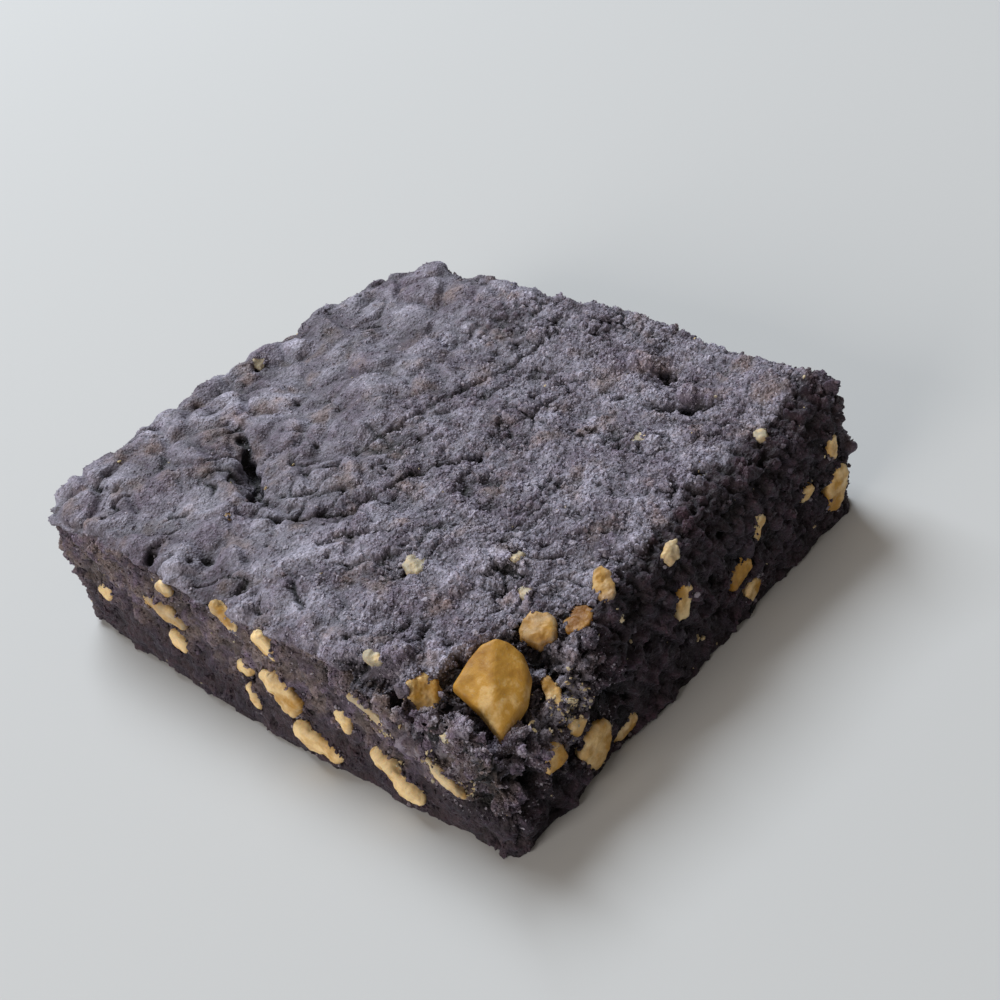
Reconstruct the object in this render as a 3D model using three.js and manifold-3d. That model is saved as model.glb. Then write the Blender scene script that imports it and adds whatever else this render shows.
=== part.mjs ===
// A hand-cut square of purple yam brownie with roasted cashew pieces baked into it.
// Millimetres, +Z up. The flat underside lies on z = 0 and the origin is at its middle.
// The photographed corner points to -X -Y: its left face is the -X side, its right face the -Y side.
import * as THREE from "three";
import { mergeVertices } from "three/addons/utils/BufferGeometryUtils.js";
import { ImprovedNoise } from "three/addons/math/ImprovedNoise.js";
import Module from "manifold-3d";

// Driving dimensions of the brownie.
const WIDTH = 65; // along X
const DEPTH = 74.5; // along Y
const HEIGHT = 17.3; // at the cut sides, before the crust's rise
const CROWN = 0.9; // extra height in the middle of the crust
const FLOOR_CUT = 2; // how far the rough block reaches below its flat underside

// Grid of the block: cells along X, Y and Z, drawn closer together towards the edges.
const GRID = { x: 34, y: 40, z: 8 };
const GRID_EASE = 0.3;

// Each side: how far it stands out from the plain rectangle at its start, middle and end, along its foot
// and along its top, how far its top edge is rounded, how much the crust rises there, and how rough it is.
// A side starts at its end with the lower X or Y.
const SIDES = {
  left: { foot: [0.5, 2.2, 0.6], top: [0.2, 0.0, 0.6], round: 1.1, rise: 0, rough: 0.5 },
  right: { foot: [0.5, 0.6, 1.0], top: [0.2, -0.4, 0.8], round: 4.4, rise: 0, rough: 0.75 },
  back_left: { foot: [-0.4, 0.6, 0.2], top: [2.8, 2.9, 0.6], round: 1.5, rise: 0.6, rough: 0.7 },
  back_right: { foot: [1.2, 0.6, 0.2], top: [2.0, 2.2, 0.6], round: 1.4, rise: 0.9, rough: 0.7 },
};
const RISE_REACH = 16; // how far inwards from its edge a side's rise fades out
const PUSH_REACH = 6; // how far inwards its bow and roughness fade out
const SLOPE_STEP = 1.2; // the step over which the crust's slope is taken

// Radius of each upright edge, seen from above.
const CORNER_RADII = { near: 1.3, left: 1.6, right: 1.8, back: 9.5 };

const EDGE_DROP = 0.85; // how much of its rounding radius a top edge drops

// Relief of the baked crust: the size of the lumps and their height.
const CRUST_LUMPS = [
  { size: 19, height: 1.5 },
  { size: 6.5, height: 0.75 },
  { size: 2.6, height: 0.35 },
];

// Relief of the torn sides: the size of the lumps and their share of the side's roughness.
const TORN_LUMPS = [
  { size: 6.7, share: 1.3 },
  { size: 2.6, share: 0.9 },
];

// Hollows (depth above 0) and humps (below 0) of the crust: place, half sizes, turn in degrees, depth.
const DENTS = [
  { at: [27.2, -15.6], half: [2.8, 1.9], turn: 35, depth: 2.4 },
  { at: [22.3, -21.6], half: [3.6, 1.2], turn: -60, depth: 2.6 },
  { at: [29.0, -31.0], half: [3.2, 3.6], turn: 0, depth: -1.6 },
  { at: [-13.4, 20.4], half: [4.2, 1.3], turn: 55, depth: 2.2 },
  { at: [-9.2, 26.0], half: [2.6, 2.2], turn: 0, depth: -0.9 },
  { at: [22.1, 12.9], half: [4.4, 2.0], turn: -25, depth: 1.3 },
  { at: [2.7, 1.6], half: [3.4, 1.4], turn: -30, depth: 0.9 },
  { at: [-27.6, 12.6], half: [1.8, 1.4], turn: 20, depth: 1.1 },
  { at: [-31.2, 18.9], half: [1.8, 1.6], turn: 0, depth: 1.3 },
  { at: [-28.8, -18.8], half: [1.7, 1.7], turn: 0, depth: -1.0 },
  { at: [31.6, 14.9], half: [2.4, 1.1], turn: 0, depth: 1.9 },
  { at: [11.0, 36.5], half: [2.2, 2.6], turn: 0, depth: 1.1 },
  { at: [-18.0, 31.0], half: [9.0, 6.0], turn: -20, depth: -1.3 },
  { at: [-12.0, -10.0], half: [11.0, 6.0], turn: 25, depth: -0.7 },
  { at: [24.0, 34.0], half: [9.0, 7.0], turn: 0, depth: 1.3 },
];

// The corner where crumb has broken away round the largest cashew, and the crevice behind its outer wall.
const BROKEN_CORNER = { at: [-22.8, -34.8], half: [7.4, 5.2], turn: -30, depth: 4.6 };
const CREVICE = {
  route: [[-31.2, -22.4], [-29.2, -25.6], [-27.9, -29.6], [-28.7, -32.6], [-30.2, -35.4], [-31.6, -38.5]],
  width: 1.1,
  depth: 4.4,
};

// Cracks of the crust that are wide enough to show as relief.
const CRACKS = [
  { route: [[-9.7, 25.4], [-13.0, 21.0], [-17.4, 14.7]], width: 0.9, depth: 1.6 },
  { route: [[-20.0, 11.8], [-13.1, 2.9], [-3.3, 0.4], [2.8, -5.0]], width: 0.9, depth: 1.0 },
  { route: [[-8.5, 10.2], [1.8, 7.7], [12.4, 5.1], [27.3, 2.2]], width: 1.2, depth: 0.9 },
];

// The outward and upward directions of each face.
const FACES = {
  left: { out: [-1, 0, 0], up: [0, 0, 1] },
  right: { out: [0, -1, 0], up: [0, 0, 1] },
  back_right: { out: [1, 0, 0], up: [0, 0, 1] },
  back_left: { out: [0, 1, 0], up: [0, 0, 1] },
  crust: { out: [0, 0, 1], up: [0, 1, 0] },
};

// How a cashew piece sits: its gap to the crumb, how far it stands proud, how deep it goes and how far out
// its pocket is open. Its outline has a few corners, with some play in their angle and distance.
const CASHEW = { gap: 0.34, proud: 0.35, depthShare: 0.55, leastDepth: 1.1, opening: 3 };
const OUTLINE = { corners: 7, anglePlay: 0.5, least: 0.9, play: 0.22 };

// A cashew piece's section from its hidden foot to the middle of its shown face: distance from the middle
// as a share of its outline, and height as a share of its depth (below 0) or of how far it stands proud.
const SECTION = [[0, -1], [0.72, -0.8], [1, -0.1], [0.93, 1], [0.5, 1.02], [0, 1.04]];

// The cashew pieces: face, place there in mm (across X or Y and up Z; X and Y on the crust), length and
// width of what shows, and the turn of the length in degrees, anticlockwise as seen from outside.
const CASHEWS = [
  { face: "left", at: [15.3, 14.8], size: [2.7, 2.2], turn: 20 },
  { face: "left", at: [17.4, 10.4], size: [9.4, 2.3], turn: -6, bend: 0.5 },
  { face: "left", at: [14.8, 7.2], size: [3.4, 1.8], turn: -35 },
  { face: "left", at: [4.3, 15.2], size: [5.6, 2.2], turn: -46, bend: 0.3 },
  { face: "left", at: [-2.4, 14.4], size: [4.6, 2.8], turn: -40 },
  { face: "left", at: [2.8, 8.2], size: [2.7, 2.3], turn: 0 },
  { face: "left", at: [1.9, 4.6], size: [4.2, 1.9], turn: -72 },
  { face: "left", at: [-4.6, 8.6], size: [6.6, 3.6], turn: -58, bend: 0.9 },
  { face: "left", at: [-9.1, 3.3], size: [8.6, 2.5], turn: -20, bend: -0.3 },
  { face: "left", at: [-14.3, 9.0], size: [3.0, 1.9], turn: -70 },
  { face: "left", at: [-19.2, 12.4], size: [7.8, 1.5], turn: -32, bend: 0.3 },
  { face: "left", at: [-21.8, 4.5], size: [8.6, 2.7], turn: -42, bend: -0.4 },
  { face: "left", at: [-29.6, 9.0], size: [7.2, 1.3], turn: -30 },
  { face: "left", at: [30.4, 7.4], size: [2.6, 2.0], turn: 60 },
  { face: "right", at: [-24.7, 8.4], size: [3.9, 3.3], turn: 60 },
  { face: "right", at: [-18.5, 4.4], size: [6.4, 4.6], turn: 62, depth: 2.6 },
  { face: "right", at: [-13.3, 1.9], size: [4.6, 2.0], turn: 8 },
  { face: "right", at: [-20.6, 9.2], size: [2.3, 2.0], turn: 0 },
  { face: "right", at: [-0.7, 10.6], size: [4.6, 2.4], turn: 72 },
  { face: "right", at: [9.9, 6.5], size: [4.9, 3.2], turn: 14, depth: 2.2 },
  { face: "right", at: [11.2, 2.9], size: [3.5, 2.5], turn: 70 },
  { face: "right", at: [14.3, 10.4], size: [3.3, 2.5], turn: 50 },
  { face: "right", at: [23.8, 8.6], size: [2.5, 2.1], turn: 0 },
  { face: "right", at: [28.9, 6.0], size: [6.8, 3.8], turn: 75, depth: 2.4 },
  { face: "right", at: [29.2, 11.8], size: [2.9, 1.9], turn: 80 },
  { face: "crust", at: [-17.2, -12.9], size: [3.1, 2.7], turn: 30 },
  { face: "crust", at: [13.8, -21.2], size: [2.8, 2.2], turn: -20 },
  { face: "crust", at: [-9.7, -21.9], size: [2.4, 2.0], turn: 0 },
  { face: "crust", at: [-13.3, -25.7], size: [2.2, 1.9], turn: 60 },
  { face: "crust", at: [-16.1, -30.0], size: [5.2, 4.1], turn: 62, depth: 2.6 },
  { face: "crust", at: [-12.7, -33.0], size: [4.1, 3.0], turn: 20, sunk: 0.6 },
  { face: "crust", at: [-8.0, -32.9], size: [5.2, 3.0], turn: 48, depth: 2.0 },
  { face: "crust", at: [0.4, -35.8], size: [3.3, 2.3], turn: 20 },
  { face: "crust", at: [-20.4, -34.6], size: [4.3, 2.1], turn: 60 },
  { face: "crust", at: [-29.0, -24.2], size: [5.0, 4.2], turn: 30, depth: 1.8 },
  { face: "crust", at: [-29.9, -18.3], size: [2.9, 1.5], turn: 70 },
  { face: "crust", at: [22.2, -33.0], size: [2.4, 2.0], turn: 0 },
  { face: "crust", at: [3.1, 34.6], size: [2.4, 2.0], turn: 0 },
  { face: "crust", at: [-20.8, 15.3], size: [2.2, 1.8], turn: 40 },
];

// The largest piece, half a cashew on its side in the broken corner: middle, outward direction, direction
// from its pointed foot to its top, and the outline of its shown face, from its top round by its left end,
// its pointed foot and its right side.
const CORNER_CASHEW = {
  at: [-24.7, -30.7, 14.7],
  out: [-0.275, -0.321, 0.906],
  up: [0.72, 0.56, 0.41],
  outline: [
    [0.5, 5.6], [-1.2, 5.1], [-2.7, 3.6], [-4.6, 0.5], [-3.1, -1.1], [-1.4, -3.0],
    [0.8, -6.1], [2.0, -4.0], [3.3, -2.0], [3.9, 1.1], [3.1, 3.8], [1.8, 5.2],
  ],
  proud: 1.2,
  crest: { height: 1.0, half: 3 },
  depth: 2.4,
  gap: 0.7,
};

// The two sides that don't show carry like pieces, drawn at random in a row of equal cells.
const ROW_SIDES = [
  { face: "back_right", half: 30, pieces: 7, seed: 41 },
  { face: "back_left", half: 25, pieces: 6, seed: 97 },
];
const ROW_PIECE = {
  cell: [0.3, 0.7],
  height: [4.4, 12.6],
  length: [3.0, 7.4],
  slender: [0.38, 0.75],
  turn: [-60, 60],
};
const OUTLINE_SEED = 5;

const SURFACE = new ImprovedNoise();
const MIDDLE = new THREE.Vector2(0, 0);
const wasm = await Module();
wasm.setup();

// A repeatable stream of numbers from 0 to 1.
function randomStream(seed) {
  let state = seed;
  return () => {
    state = (state + 0x6d2b79f5) | 0;
    let t = Math.imul(state ^ (state >>> 15), 1 | state);
    t = (t + Math.imul(t ^ (t >>> 7), 61 | t)) ^ t;
    return ((t ^ (t >>> 14)) >>> 0) / 4294967296;
  };
}

function smoothStep(low, high, x) {
  const t = THREE.MathUtils.clamp((x - low) / (high - low), 0, 1);
  return t * t * (3 - 2 * t);
}

// How deep a point lies in an oval dent: 1 in its middle, falling to 0 outside it.
function dentShare(dent, x, y) {
  const turn = THREE.MathUtils.degToRad(dent.turn);
  const dx = x - dent.at[0];
  const dy = y - dent.at[1];
  const u = (dx * Math.cos(turn) + dy * Math.sin(turn)) / dent.half[0];
  const v = (dy * Math.cos(turn) - dx * Math.sin(turn)) / dent.half[1];
  return Math.exp(-(u * u + v * v));
}

// Distance from a point to a route of straight stretches, seen from above.
function distanceToRoute(route, x, y) {
  let nearest = Infinity;
  for (let i = 1; i < route.length; i++) {
    const [ax, ay] = route[i - 1];
    const [bx, by] = route[i];
    const along = ((x - ax) * (bx - ax) + (y - ay) * (by - ay)) / ((bx - ax) ** 2 + (by - ay) ** 2);
    const t = THREE.MathUtils.clamp(along, 0, 1);
    nearest = Math.min(nearest, Math.hypot(x - ax - t * (bx - ax), y - ay - t * (by - ay)));
  }
  return nearest;
}

function grooveShare(groove, x, y) {
  return Math.exp(-((distanceToRoute(groove.route, x, y) / groove.width) ** 2));
}

// The four sides' outward directions, with how much each one counts for a direction seen from above.
function sideShares(nx, ny) {
  return {
    left: Math.max(0, -nx) ** 2,
    right: Math.max(0, -ny) ** 2,
    back_right: Math.max(0, nx) ** 2,
    back_left: Math.max(0, ny) ** 2,
  };
}

function blended(shares, value) {
  return Object.entries(shares).reduce((sum, [side, share]) => sum + share * value(SIDES[side], side), 0);
}

// The smooth curve through a side's start, middle and end values; along runs from -1 to 1.
function throughThree([start, middle, end], along) {
  return middle + ((end - start) / 2) * along + ((end + start) / 2 - middle) * along * along;
}

function cornerRadius(x, y) {
  if (x < 0) return y < 0 ? CORNER_RADII.near : CORNER_RADII.left;
  return y < 0 ? CORNER_RADII.right : CORNER_RADII.back;
}

// Rounds the block's upright edges: a point of the square grid moves towards the corner's arc.
function roundedPlan(x, y) {
  const r = cornerRadius(x, y);
  const dx = Math.abs(x) - (WIDTH / 2 - r);
  const dy = Math.abs(y) - (DEPTH / 2 - r);
  if (dx <= 0 || dy <= 0) return [x, y];
  const pull = Math.max(dx, dy) / Math.hypot(dx, dy);
  return [Math.sign(x) * (WIDTH / 2 - r + dx * pull), Math.sign(y) * (DEPTH / 2 - r + dy * pull)];
}

// Distance inwards from the rounded outline, and the outward direction of the nearest side or corner.
function insideOutline(x, y) {
  const r = cornerRadius(x, y);
  const dx = Math.abs(x) - (WIDTH / 2 - r);
  const dy = Math.abs(y) - (DEPTH / 2 - r);
  if (dx > 0 && dy > 0) {
    const d = Math.hypot(dx, dy);
    return { inward: r - d, nx: (Math.sign(x) * dx) / d, ny: (Math.sign(y) * dy) / d };
  }
  if (dx > dy) return { inward: r - dx, nx: Math.sign(x), ny: 0 };
  return { inward: r - dy, nx: 0, ny: Math.sign(y) };
}

// Height of the crust at a place seen from above.
function crustHeight(x, y) {
  const { inward, nx, ny } = insideOutline(x, y);
  const shares = sideShares(nx, ny);
  const round = blended(shares, (side) => side.round);
  const short = Math.max(0, round - inward);
  let height = HEIGHT - (round - Math.sqrt(Math.max(0, round * round - short * short))) * EDGE_DROP;
  height += CROWN * (1 - (2 * x / WIDTH) ** 2) * (1 - (2 * y / DEPTH) ** 2);
  height += blended(shares, (side) => side.rise) * (1 - smoothStep(0, RISE_REACH, inward));
  for (const { size, height: rise } of CRUST_LUMPS) height += rise * SURFACE.noise(x / size, y / size, size);
  for (const dent of DENTS) height -= dent.depth * dentShare(dent, x, y);
  for (const crack of CRACKS) height -= crack.depth * grooveShare(crack, x, y);
  height -= BROKEN_CORNER.depth * dentShare(BROKEN_CORNER, x, y);
  height -= CREVICE.depth * grooveShare(CREVICE, x, y);
  return height;
}

// How far a side stands out from the plain rectangle: its bow and the torn crumb's relief.
function sideRelief(x, y, z, nx, ny) {
  const shares = sideShares(nx, ny);
  const rise = THREE.MathUtils.clamp(z / HEIGHT, 0, 1);
  const bow = blended(shares, (side, name) => {
    const along = FACES[name].out[0] ? (2 * y) / DEPTH : (2 * x) / WIDTH;
    return throughThree(side.foot, along) * (1 - rise) + throughThree(side.top, along) * rise;
  });
  let torn = 0;
  for (const { size, share } of TORN_LUMPS) {
    torn += share * SURFACE.noise(x / size + size, y / size, z / size);
  }
  return bow + blended(shares, (side) => side.rough) * torn;
}

// The point over a place of the plan, from the block's rough foot at h = 0 to the crust at h = 1.
function blockPoint(x, y, h) {
  const { inward, nx, ny } = insideOutline(x, y);
  const z = -FLOOR_CUT + h * (crustHeight(x, y) + FLOOR_CUT);
  const push = sideRelief(x, y, z, nx, ny) * (1 - smoothStep(0, PUSH_REACH, inward));
  return new THREE.Vector3(x + nx * push, y + ny * push, z);
}

function toSolid(geometry) {
  const bare = geometry.clone();
  bare.deleteAttribute("normal");
  bare.deleteAttribute("uv");
  const merged = mergeVertices(bare, 1e-4);
  return new wasm.Manifold(
    new wasm.Mesh({
      numProp: 3,
      vertProperties: new Float32Array(merged.attributes.position.array),
      triVerts: new Uint32Array(merged.index.array),
    }),
  );
}

function toGeometry(solid) {
  const mesh = solid.getMesh();
  const geometry = new THREE.BufferGeometry();
  geometry.setAttribute("position", new THREE.BufferAttribute(mesh.vertProperties, 3));
  geometry.setIndex(new THREE.BufferAttribute(mesh.triVerts, 1));
  geometry.computeVertexNormals();
  return geometry;
}

// The rough block before its underside is cut flat: a gridded box, 2 x 2 x 1, drawn out to its shape.
function roughBlock() {
  const box = new THREE.BoxGeometry(2, 2, 1, GRID.x, GRID.y, GRID.z).translate(0, 0, 0.5);
  const eased = (u) => u + (GRID_EASE * Math.sin(Math.PI * u)) / Math.PI;
  const points = box.attributes.position;
  for (let i = 0; i < points.count; i++) {
    const plan = roundedPlan((eased(points.getX(i)) * WIDTH) / 2, (eased(points.getY(i)) * DEPTH) / 2);
    const p = blockPoint(...plan, points.getZ(i));
    points.setXYZ(i, p.x, p.y, p.z);
  }
  return toSolid(box);
}

function belowFloor() {
  const slab = new THREE.BoxGeometry(WIDTH * 2, DEPTH * 2, FLOOR_CUT * 4);
  return toSolid(slab.translate(0, 0, -FLOOR_CUT * 2));
}

// The crust's outward direction over a place of the plan, from its rise over a short step each way.
function crustSlope(x, y) {
  const step = SLOPE_STEP;
  const alongX = blockPoint(x + step, y, 1).sub(blockPoint(x - step, y, 1));
  const alongY = blockPoint(x, y + step, 1).sub(blockPoint(x, y - step, 1));
  return alongX.cross(alongY).normalize();
}

// The point of a cut side at a distance along it and a height.
function sidePoint(face, along, z) {
  const { out } = FACES[face];
  const x = out[0] ? (out[0] * WIDTH) / 2 : along;
  const y = out[1] ? (out[1] * DEPTH) / 2 : along;
  const push = sideRelief(x, y, z, out[0], out[1]);
  return new THREE.Vector3(x + out[0] * push, y + out[1] * push, z);
}

// The frame of a shown face: its middle, and the directions across, up and out of it.
function faceFrame(middle, up, out) {
  const across = up.clone().cross(out).normalize();
  return new THREE.Matrix4().makeBasis(across, out.clone().cross(across), out).setPosition(middle);
}

function seat(piece) {
  const onCrust = piece.face === "crust";
  const out = onCrust ? crustSlope(...piece.at) : new THREE.Vector3(...FACES[piece.face].out);
  const middle = onCrust ? blockPoint(...piece.at, 1) : sidePoint(piece.face, ...piece.at);
  middle.addScaledVector(out, -(piece.sunk ?? 0));
  return faceFrame(middle, new THREE.Vector3(...FACES[piece.face].up), out);
}

// An uneven outline with a few corners, round the middle of its piece.
function brokenOutline(piece, random) {
  const points = [];
  const turn = THREE.MathUtils.degToRad(piece.turn);
  for (let k = 0; k < OUTLINE.corners; k++) {
    const angle = ((k + OUTLINE.anglePlay * (random() - 0.5)) / OUTLINE.corners) * 2 * Math.PI;
    const reach = OUTLINE.least + OUTLINE.play * random();
    const along = (Math.cos(angle) * reach * piece.size[0]) / 2;
    const aside = (Math.sin(angle) * reach * piece.size[1]) / 2;
    const bent = aside + (piece.bend ?? 0) * (1 - 2 * ((2 * along) / piece.size[0]) ** 2);
    points.push(new THREE.Vector2(along, bent).rotateAround(MIDDLE, turn).toArray());
  }
  return points;
}

// A cashew piece in its own frame. It is turned like a squat spindle, then drawn out to its outline; grow
// widens it all round and opening draws its shown face further out, which gives the pocket it sits in.
function chip({ outline, proud, depth, crest }, grow, opening) {
  const lathe = new THREE.LatheGeometry(
    SECTION.map(([r, h]) => new THREE.Vector2(r, h < 0 ? h * (depth + grow) : h * (proud + opening))),
    outline.length,
  );
  const points = lathe.attributes.position;
  for (let i = 0; i < points.count; i++) {
    const reach = Math.hypot(points.getX(i), points.getZ(i));
    const angle = (Math.atan2(points.getX(i), points.getZ(i)) / (2 * Math.PI) + 1) % 1;
    const [u, v] = outline[Math.round(angle * outline.length) % outline.length];
    const length = Math.hypot(u, v);
    const widened = (reach * (length + grow)) / length;
    const crested = crest && points.getY(i) > 0;
    const ridge = crested ? crest.height * Math.max(0, 1 - Math.abs(reach * u) / crest.half) : 0;
    points.setXYZ(i, u * widened, v * widened, points.getY(i) + ridge);
  }
  return toSolid(lathe);
}

// A row of cashew pieces along a side, one in each of its cells.
function rowPieces({ face, half, pieces, seed }) {
  const random = randomStream(seed);
  const between = ([low, high]) => low + (high - low) * random();
  const found = [];
  for (let k = 0; k < pieces; k++) {
    const along = -half + ((k + between(ROW_PIECE.cell)) * 2 * half) / pieces;
    const length = between(ROW_PIECE.length);
    const at = [along, between(ROW_PIECE.height)];
    const size = [length, length * between(ROW_PIECE.slender)];
    found.push({ face, at, size, turn: between(ROW_PIECE.turn) });
  }
  return found;
}

// Every cashew piece with its name, frame and shape.
function cashewPieces() {
  const random = randomStream(OUTLINE_SEED);
  const counts = {};
  const all = [...CASHEWS, ...ROW_SIDES.flatMap(rowPieces)].map((piece) => {
    counts[piece.face] = (counts[piece.face] ?? 0) + 1;
    return {
      name: `cashew_${piece.face}_${String(counts[piece.face]).padStart(2, "0")}`,
      frame: seat(piece),
      gap: CASHEW.gap,
      shape: {
        outline: brokenOutline(piece, random),
        proud: piece.proud ?? CASHEW.proud,
        depth: piece.depth ?? Math.max(CASHEW.leastDepth, piece.size[1] * CASHEW.depthShare),
      },
    };
  });
  const middle = new THREE.Vector3(...CORNER_CASHEW.at);
  const up = new THREE.Vector3(...CORNER_CASHEW.up);
  const out = new THREE.Vector3(...CORNER_CASHEW.out).normalize();
  all.push({
    name: "cashew_corner",
    frame: faceFrame(middle, up, out),
    gap: CORNER_CASHEW.gap,
    shape: CORNER_CASHEW,
  });
  return all;
}

const crumbMaterial = new THREE.MeshStandardMaterial({ color: 0x4b4450, roughness: 0.95, metalness: 0 });
const cashewMaterial = new THREE.MeshStandardMaterial({ color: 0xd2a55f, roughness: 0.6, metalness: 0 });

function named(name, solid, material) {
  const mesh = new THREE.Mesh(toGeometry(solid), material);
  mesh.name = name;
  return mesh;
}

const pieces = cashewPieces();
let crumb = roughBlock().subtract(belowFloor());
for (const piece of pieces) {
  crumb = crumb.subtract(chip(piece.shape, piece.gap, CASHEW.opening).transform(piece.frame.elements));
}

const group = new THREE.Group();
group.add(named("brownie", crumb, crumbMaterial));
for (const piece of pieces) {
  group.add(named(piece.name, chip(piece.shape, 0, 0).transform(piece.frame.elements), cashewMaterial));
}

export default group;
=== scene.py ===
"""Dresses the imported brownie: torn purple yam crumb, its dusty crust, roasted cashew pieces and crumbs.

Sizes and places in the classes are millimetres in the part's own frame, which has its crust on top and
its photographed corner towards -X -Y. Meshes, lights and the camera take them in metres.
"""

import logging
import math
from dataclasses import dataclass, field
from enum import Enum

import bmesh
import bpy
import numpy as np
from mathutils import Matrix, Vector
from mathutils.bvhtree import BVHTree


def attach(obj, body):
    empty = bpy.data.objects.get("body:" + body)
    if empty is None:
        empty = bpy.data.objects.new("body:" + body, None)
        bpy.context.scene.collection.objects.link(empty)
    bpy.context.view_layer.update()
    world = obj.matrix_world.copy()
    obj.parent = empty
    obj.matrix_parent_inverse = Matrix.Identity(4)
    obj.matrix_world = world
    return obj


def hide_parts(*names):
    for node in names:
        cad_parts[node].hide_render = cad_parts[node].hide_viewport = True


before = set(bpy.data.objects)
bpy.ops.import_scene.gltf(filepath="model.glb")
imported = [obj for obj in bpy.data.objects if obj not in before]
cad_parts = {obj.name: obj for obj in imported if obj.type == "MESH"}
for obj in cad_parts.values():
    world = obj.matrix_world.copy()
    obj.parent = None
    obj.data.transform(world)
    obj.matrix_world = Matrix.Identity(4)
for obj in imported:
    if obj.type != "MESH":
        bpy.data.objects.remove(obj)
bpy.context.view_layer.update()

MM = 0.001
BODY = "root"
CRUMB_NODE = "brownie"
BLOCK_HALF = (32.5, 37.25)
CORNER_NODE = "cashew_corner"
GROUND_SHARES = ("crust", "dry", "relief")
RELIEF_RANGE = (-1.3, 1)
DOWNWARD = -0.6
OVERHANGING = -0.5
LEVEL = 0.99
LOWEST_CRUMB = 0.01
CRUSHED_AT = (-20.2, -36.7, 11.8)
LOG = logging.getLogger("brownie")

Place = tuple[float, float, float]
Route = tuple[tuple[float, float], ...]
Colour = tuple[float, float, float, float]


def smooth_step(low: float, high: float, values: np.ndarray) -> np.ndarray:
    """Eases values from 0 at low to 1 at high.

    Args:
        low: the value that gives 0.
        high: the value that gives 1; it may lie below low.
        values: the values to ease.

    Returns:
        The shares, from 0 to 1.
    """
    t = np.clip((values - low) / (high - low), 0, 1)
    return t * t * (3 - 2 * t)


def route_distance(places: np.ndarray, route: Route) -> np.ndarray:
    """Measures how far places lie from a route of straight stretches, seen from above.

    Args:
        places: one row of X, Y and Z for each place.
        route: the route's X and Y, point by point.

    Returns:
        The distance of each place.
    """
    nearest = np.full(len(places), np.inf)
    for start, end in zip(route, route[1:]):
        start, stretch = np.array(start), np.subtract(end, start)
        offset = places[:, :2] - start
        share = np.clip(offset @ stretch / (stretch @ stretch), 0, 1)
        nearest = np.minimum(nearest, np.linalg.norm(offset - share[:, None] * stretch, axis=1))
    return nearest


def inside_route(places: np.ndarray, route: Route) -> np.ndarray:
    """Tells which places lie inside a closed route, seen from above.

    Args:
        places: one row of X, Y and Z for each place.
        route: the route's X and Y, point by point; it closes by itself.

    Returns:
        True for each place inside.
    """
    inside = np.zeros(len(places), dtype=bool)
    x, y = places[:, 0], places[:, 1]
    for (ax, ay), (bx, by) in zip(route, route[1:] + route[:1]):
        if ay == by:
            continue
        crossing = ax + (y - ay) * (bx - ax) / (by - ay)
        inside ^= ((ay > y) != (by > y)) & (x < crossing)
    return inside


class Noise:
    """Seeded noise over places in millimetres."""

    ENTRIES = 256
    STRENGTH = 1.7

    def __init__(self, seed: int) -> None:
        """Draws the tables that the noise is made of.

        Args:
            seed: the number that fixes the draw.
        """
        draw = np.random.default_rng(seed)
        self.order = np.tile(draw.permutation(self.ENTRIES), 2)
        slopes = draw.normal(size=(self.ENTRIES, 3))
        self.slopes = slopes / np.linalg.norm(slopes, axis=1, keepdims=True)
        self.spots = draw.random((self.ENTRIES, 3))
        self.shares = draw.random(self.ENTRIES)

    def entry(self, cells: np.ndarray) -> np.ndarray:
        """Gives the table entry of each cell of the noise's grid."""
        x, y, z = (cells % self.ENTRIES).T
        return self.order[self.order[self.order[x] + y] + z]

    def soft(self, places: np.ndarray, size: float | tuple[float, float, float]) -> np.ndarray:
        """Soft noise from about -1 to 1.

        Args:
            places: one row for each place.
            size: how far apart its lumps lie, along all axes or along each one.

        Returns:
            The noise at each place.
        """
        scaled = places / np.array(size)
        base = np.floor(scaled).astype(int)
        part = scaled - base
        ease = part * part * part * (part * (part * 6 - 15) + 10)
        total = np.zeros(len(places))
        for corner in np.ndindex(2, 2, 2):
            slope = self.slopes[self.entry(base + corner)]
            share = np.prod(np.where(corner, ease, 1 - ease), axis=1)
            total += share * np.einsum("ij,ij->i", slope, part - corner)
        return total * self.STRENGTH

    def drift(self, places: np.ndarray, size: float, shifts: tuple[int, int, int]) -> np.ndarray:
        """Soft noise along each of the three axes, which starts from its own shift."""
        return np.stack([self.soft(places + shift, size) for shift in shifts], axis=1)

    def clumps(self, places: np.ndarray, size: float) -> tuple[np.ndarray, np.ndarray, np.ndarray]:
        """Finds the nearest of scattered clump middles.

        Args:
            places: one row for each place.
            size: how far apart the clumps lie.

        Returns:
            The distance to the nearest middle, how much further the second one is, and a random share
            from 0 to 1 that belongs to the nearest clump.
        """
        scaled = places / size
        base = np.floor(scaled).astype(int)
        first = np.full(len(places), np.inf)
        second = np.full(len(places), np.inf)
        share = np.zeros(len(places))
        for offset in np.ndindex(3, 3, 3):
            cell = base + offset - 1
            entry = self.entry(cell)
            gap = np.linalg.norm(cell + self.spots[entry] - scaled, axis=1)
            nearer = gap < first
            second = np.where(nearer, first, np.minimum(second, gap))
            share = np.where(nearer, self.shares[entry], share)
            first = np.minimum(first, gap)
        return first * size, (second - first) * size, share


def read_vectors(items: bpy.types.bpy_prop_collection, what: str) -> np.ndarray:
    """Reads one vector of each vertex or face.

    Args:
        items: a mesh's vertices or faces.
        what: "normal" for the outward direction, "co" for a vertex's place or "center" for a face's.

    Returns:
        One row for each of them, as the mesh holds it.
    """
    flat = np.empty(3 * len(items), dtype=np.float32)
    items.foreach_get(what, flat)
    return flat.reshape(-1, 3).astype(float)


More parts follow.
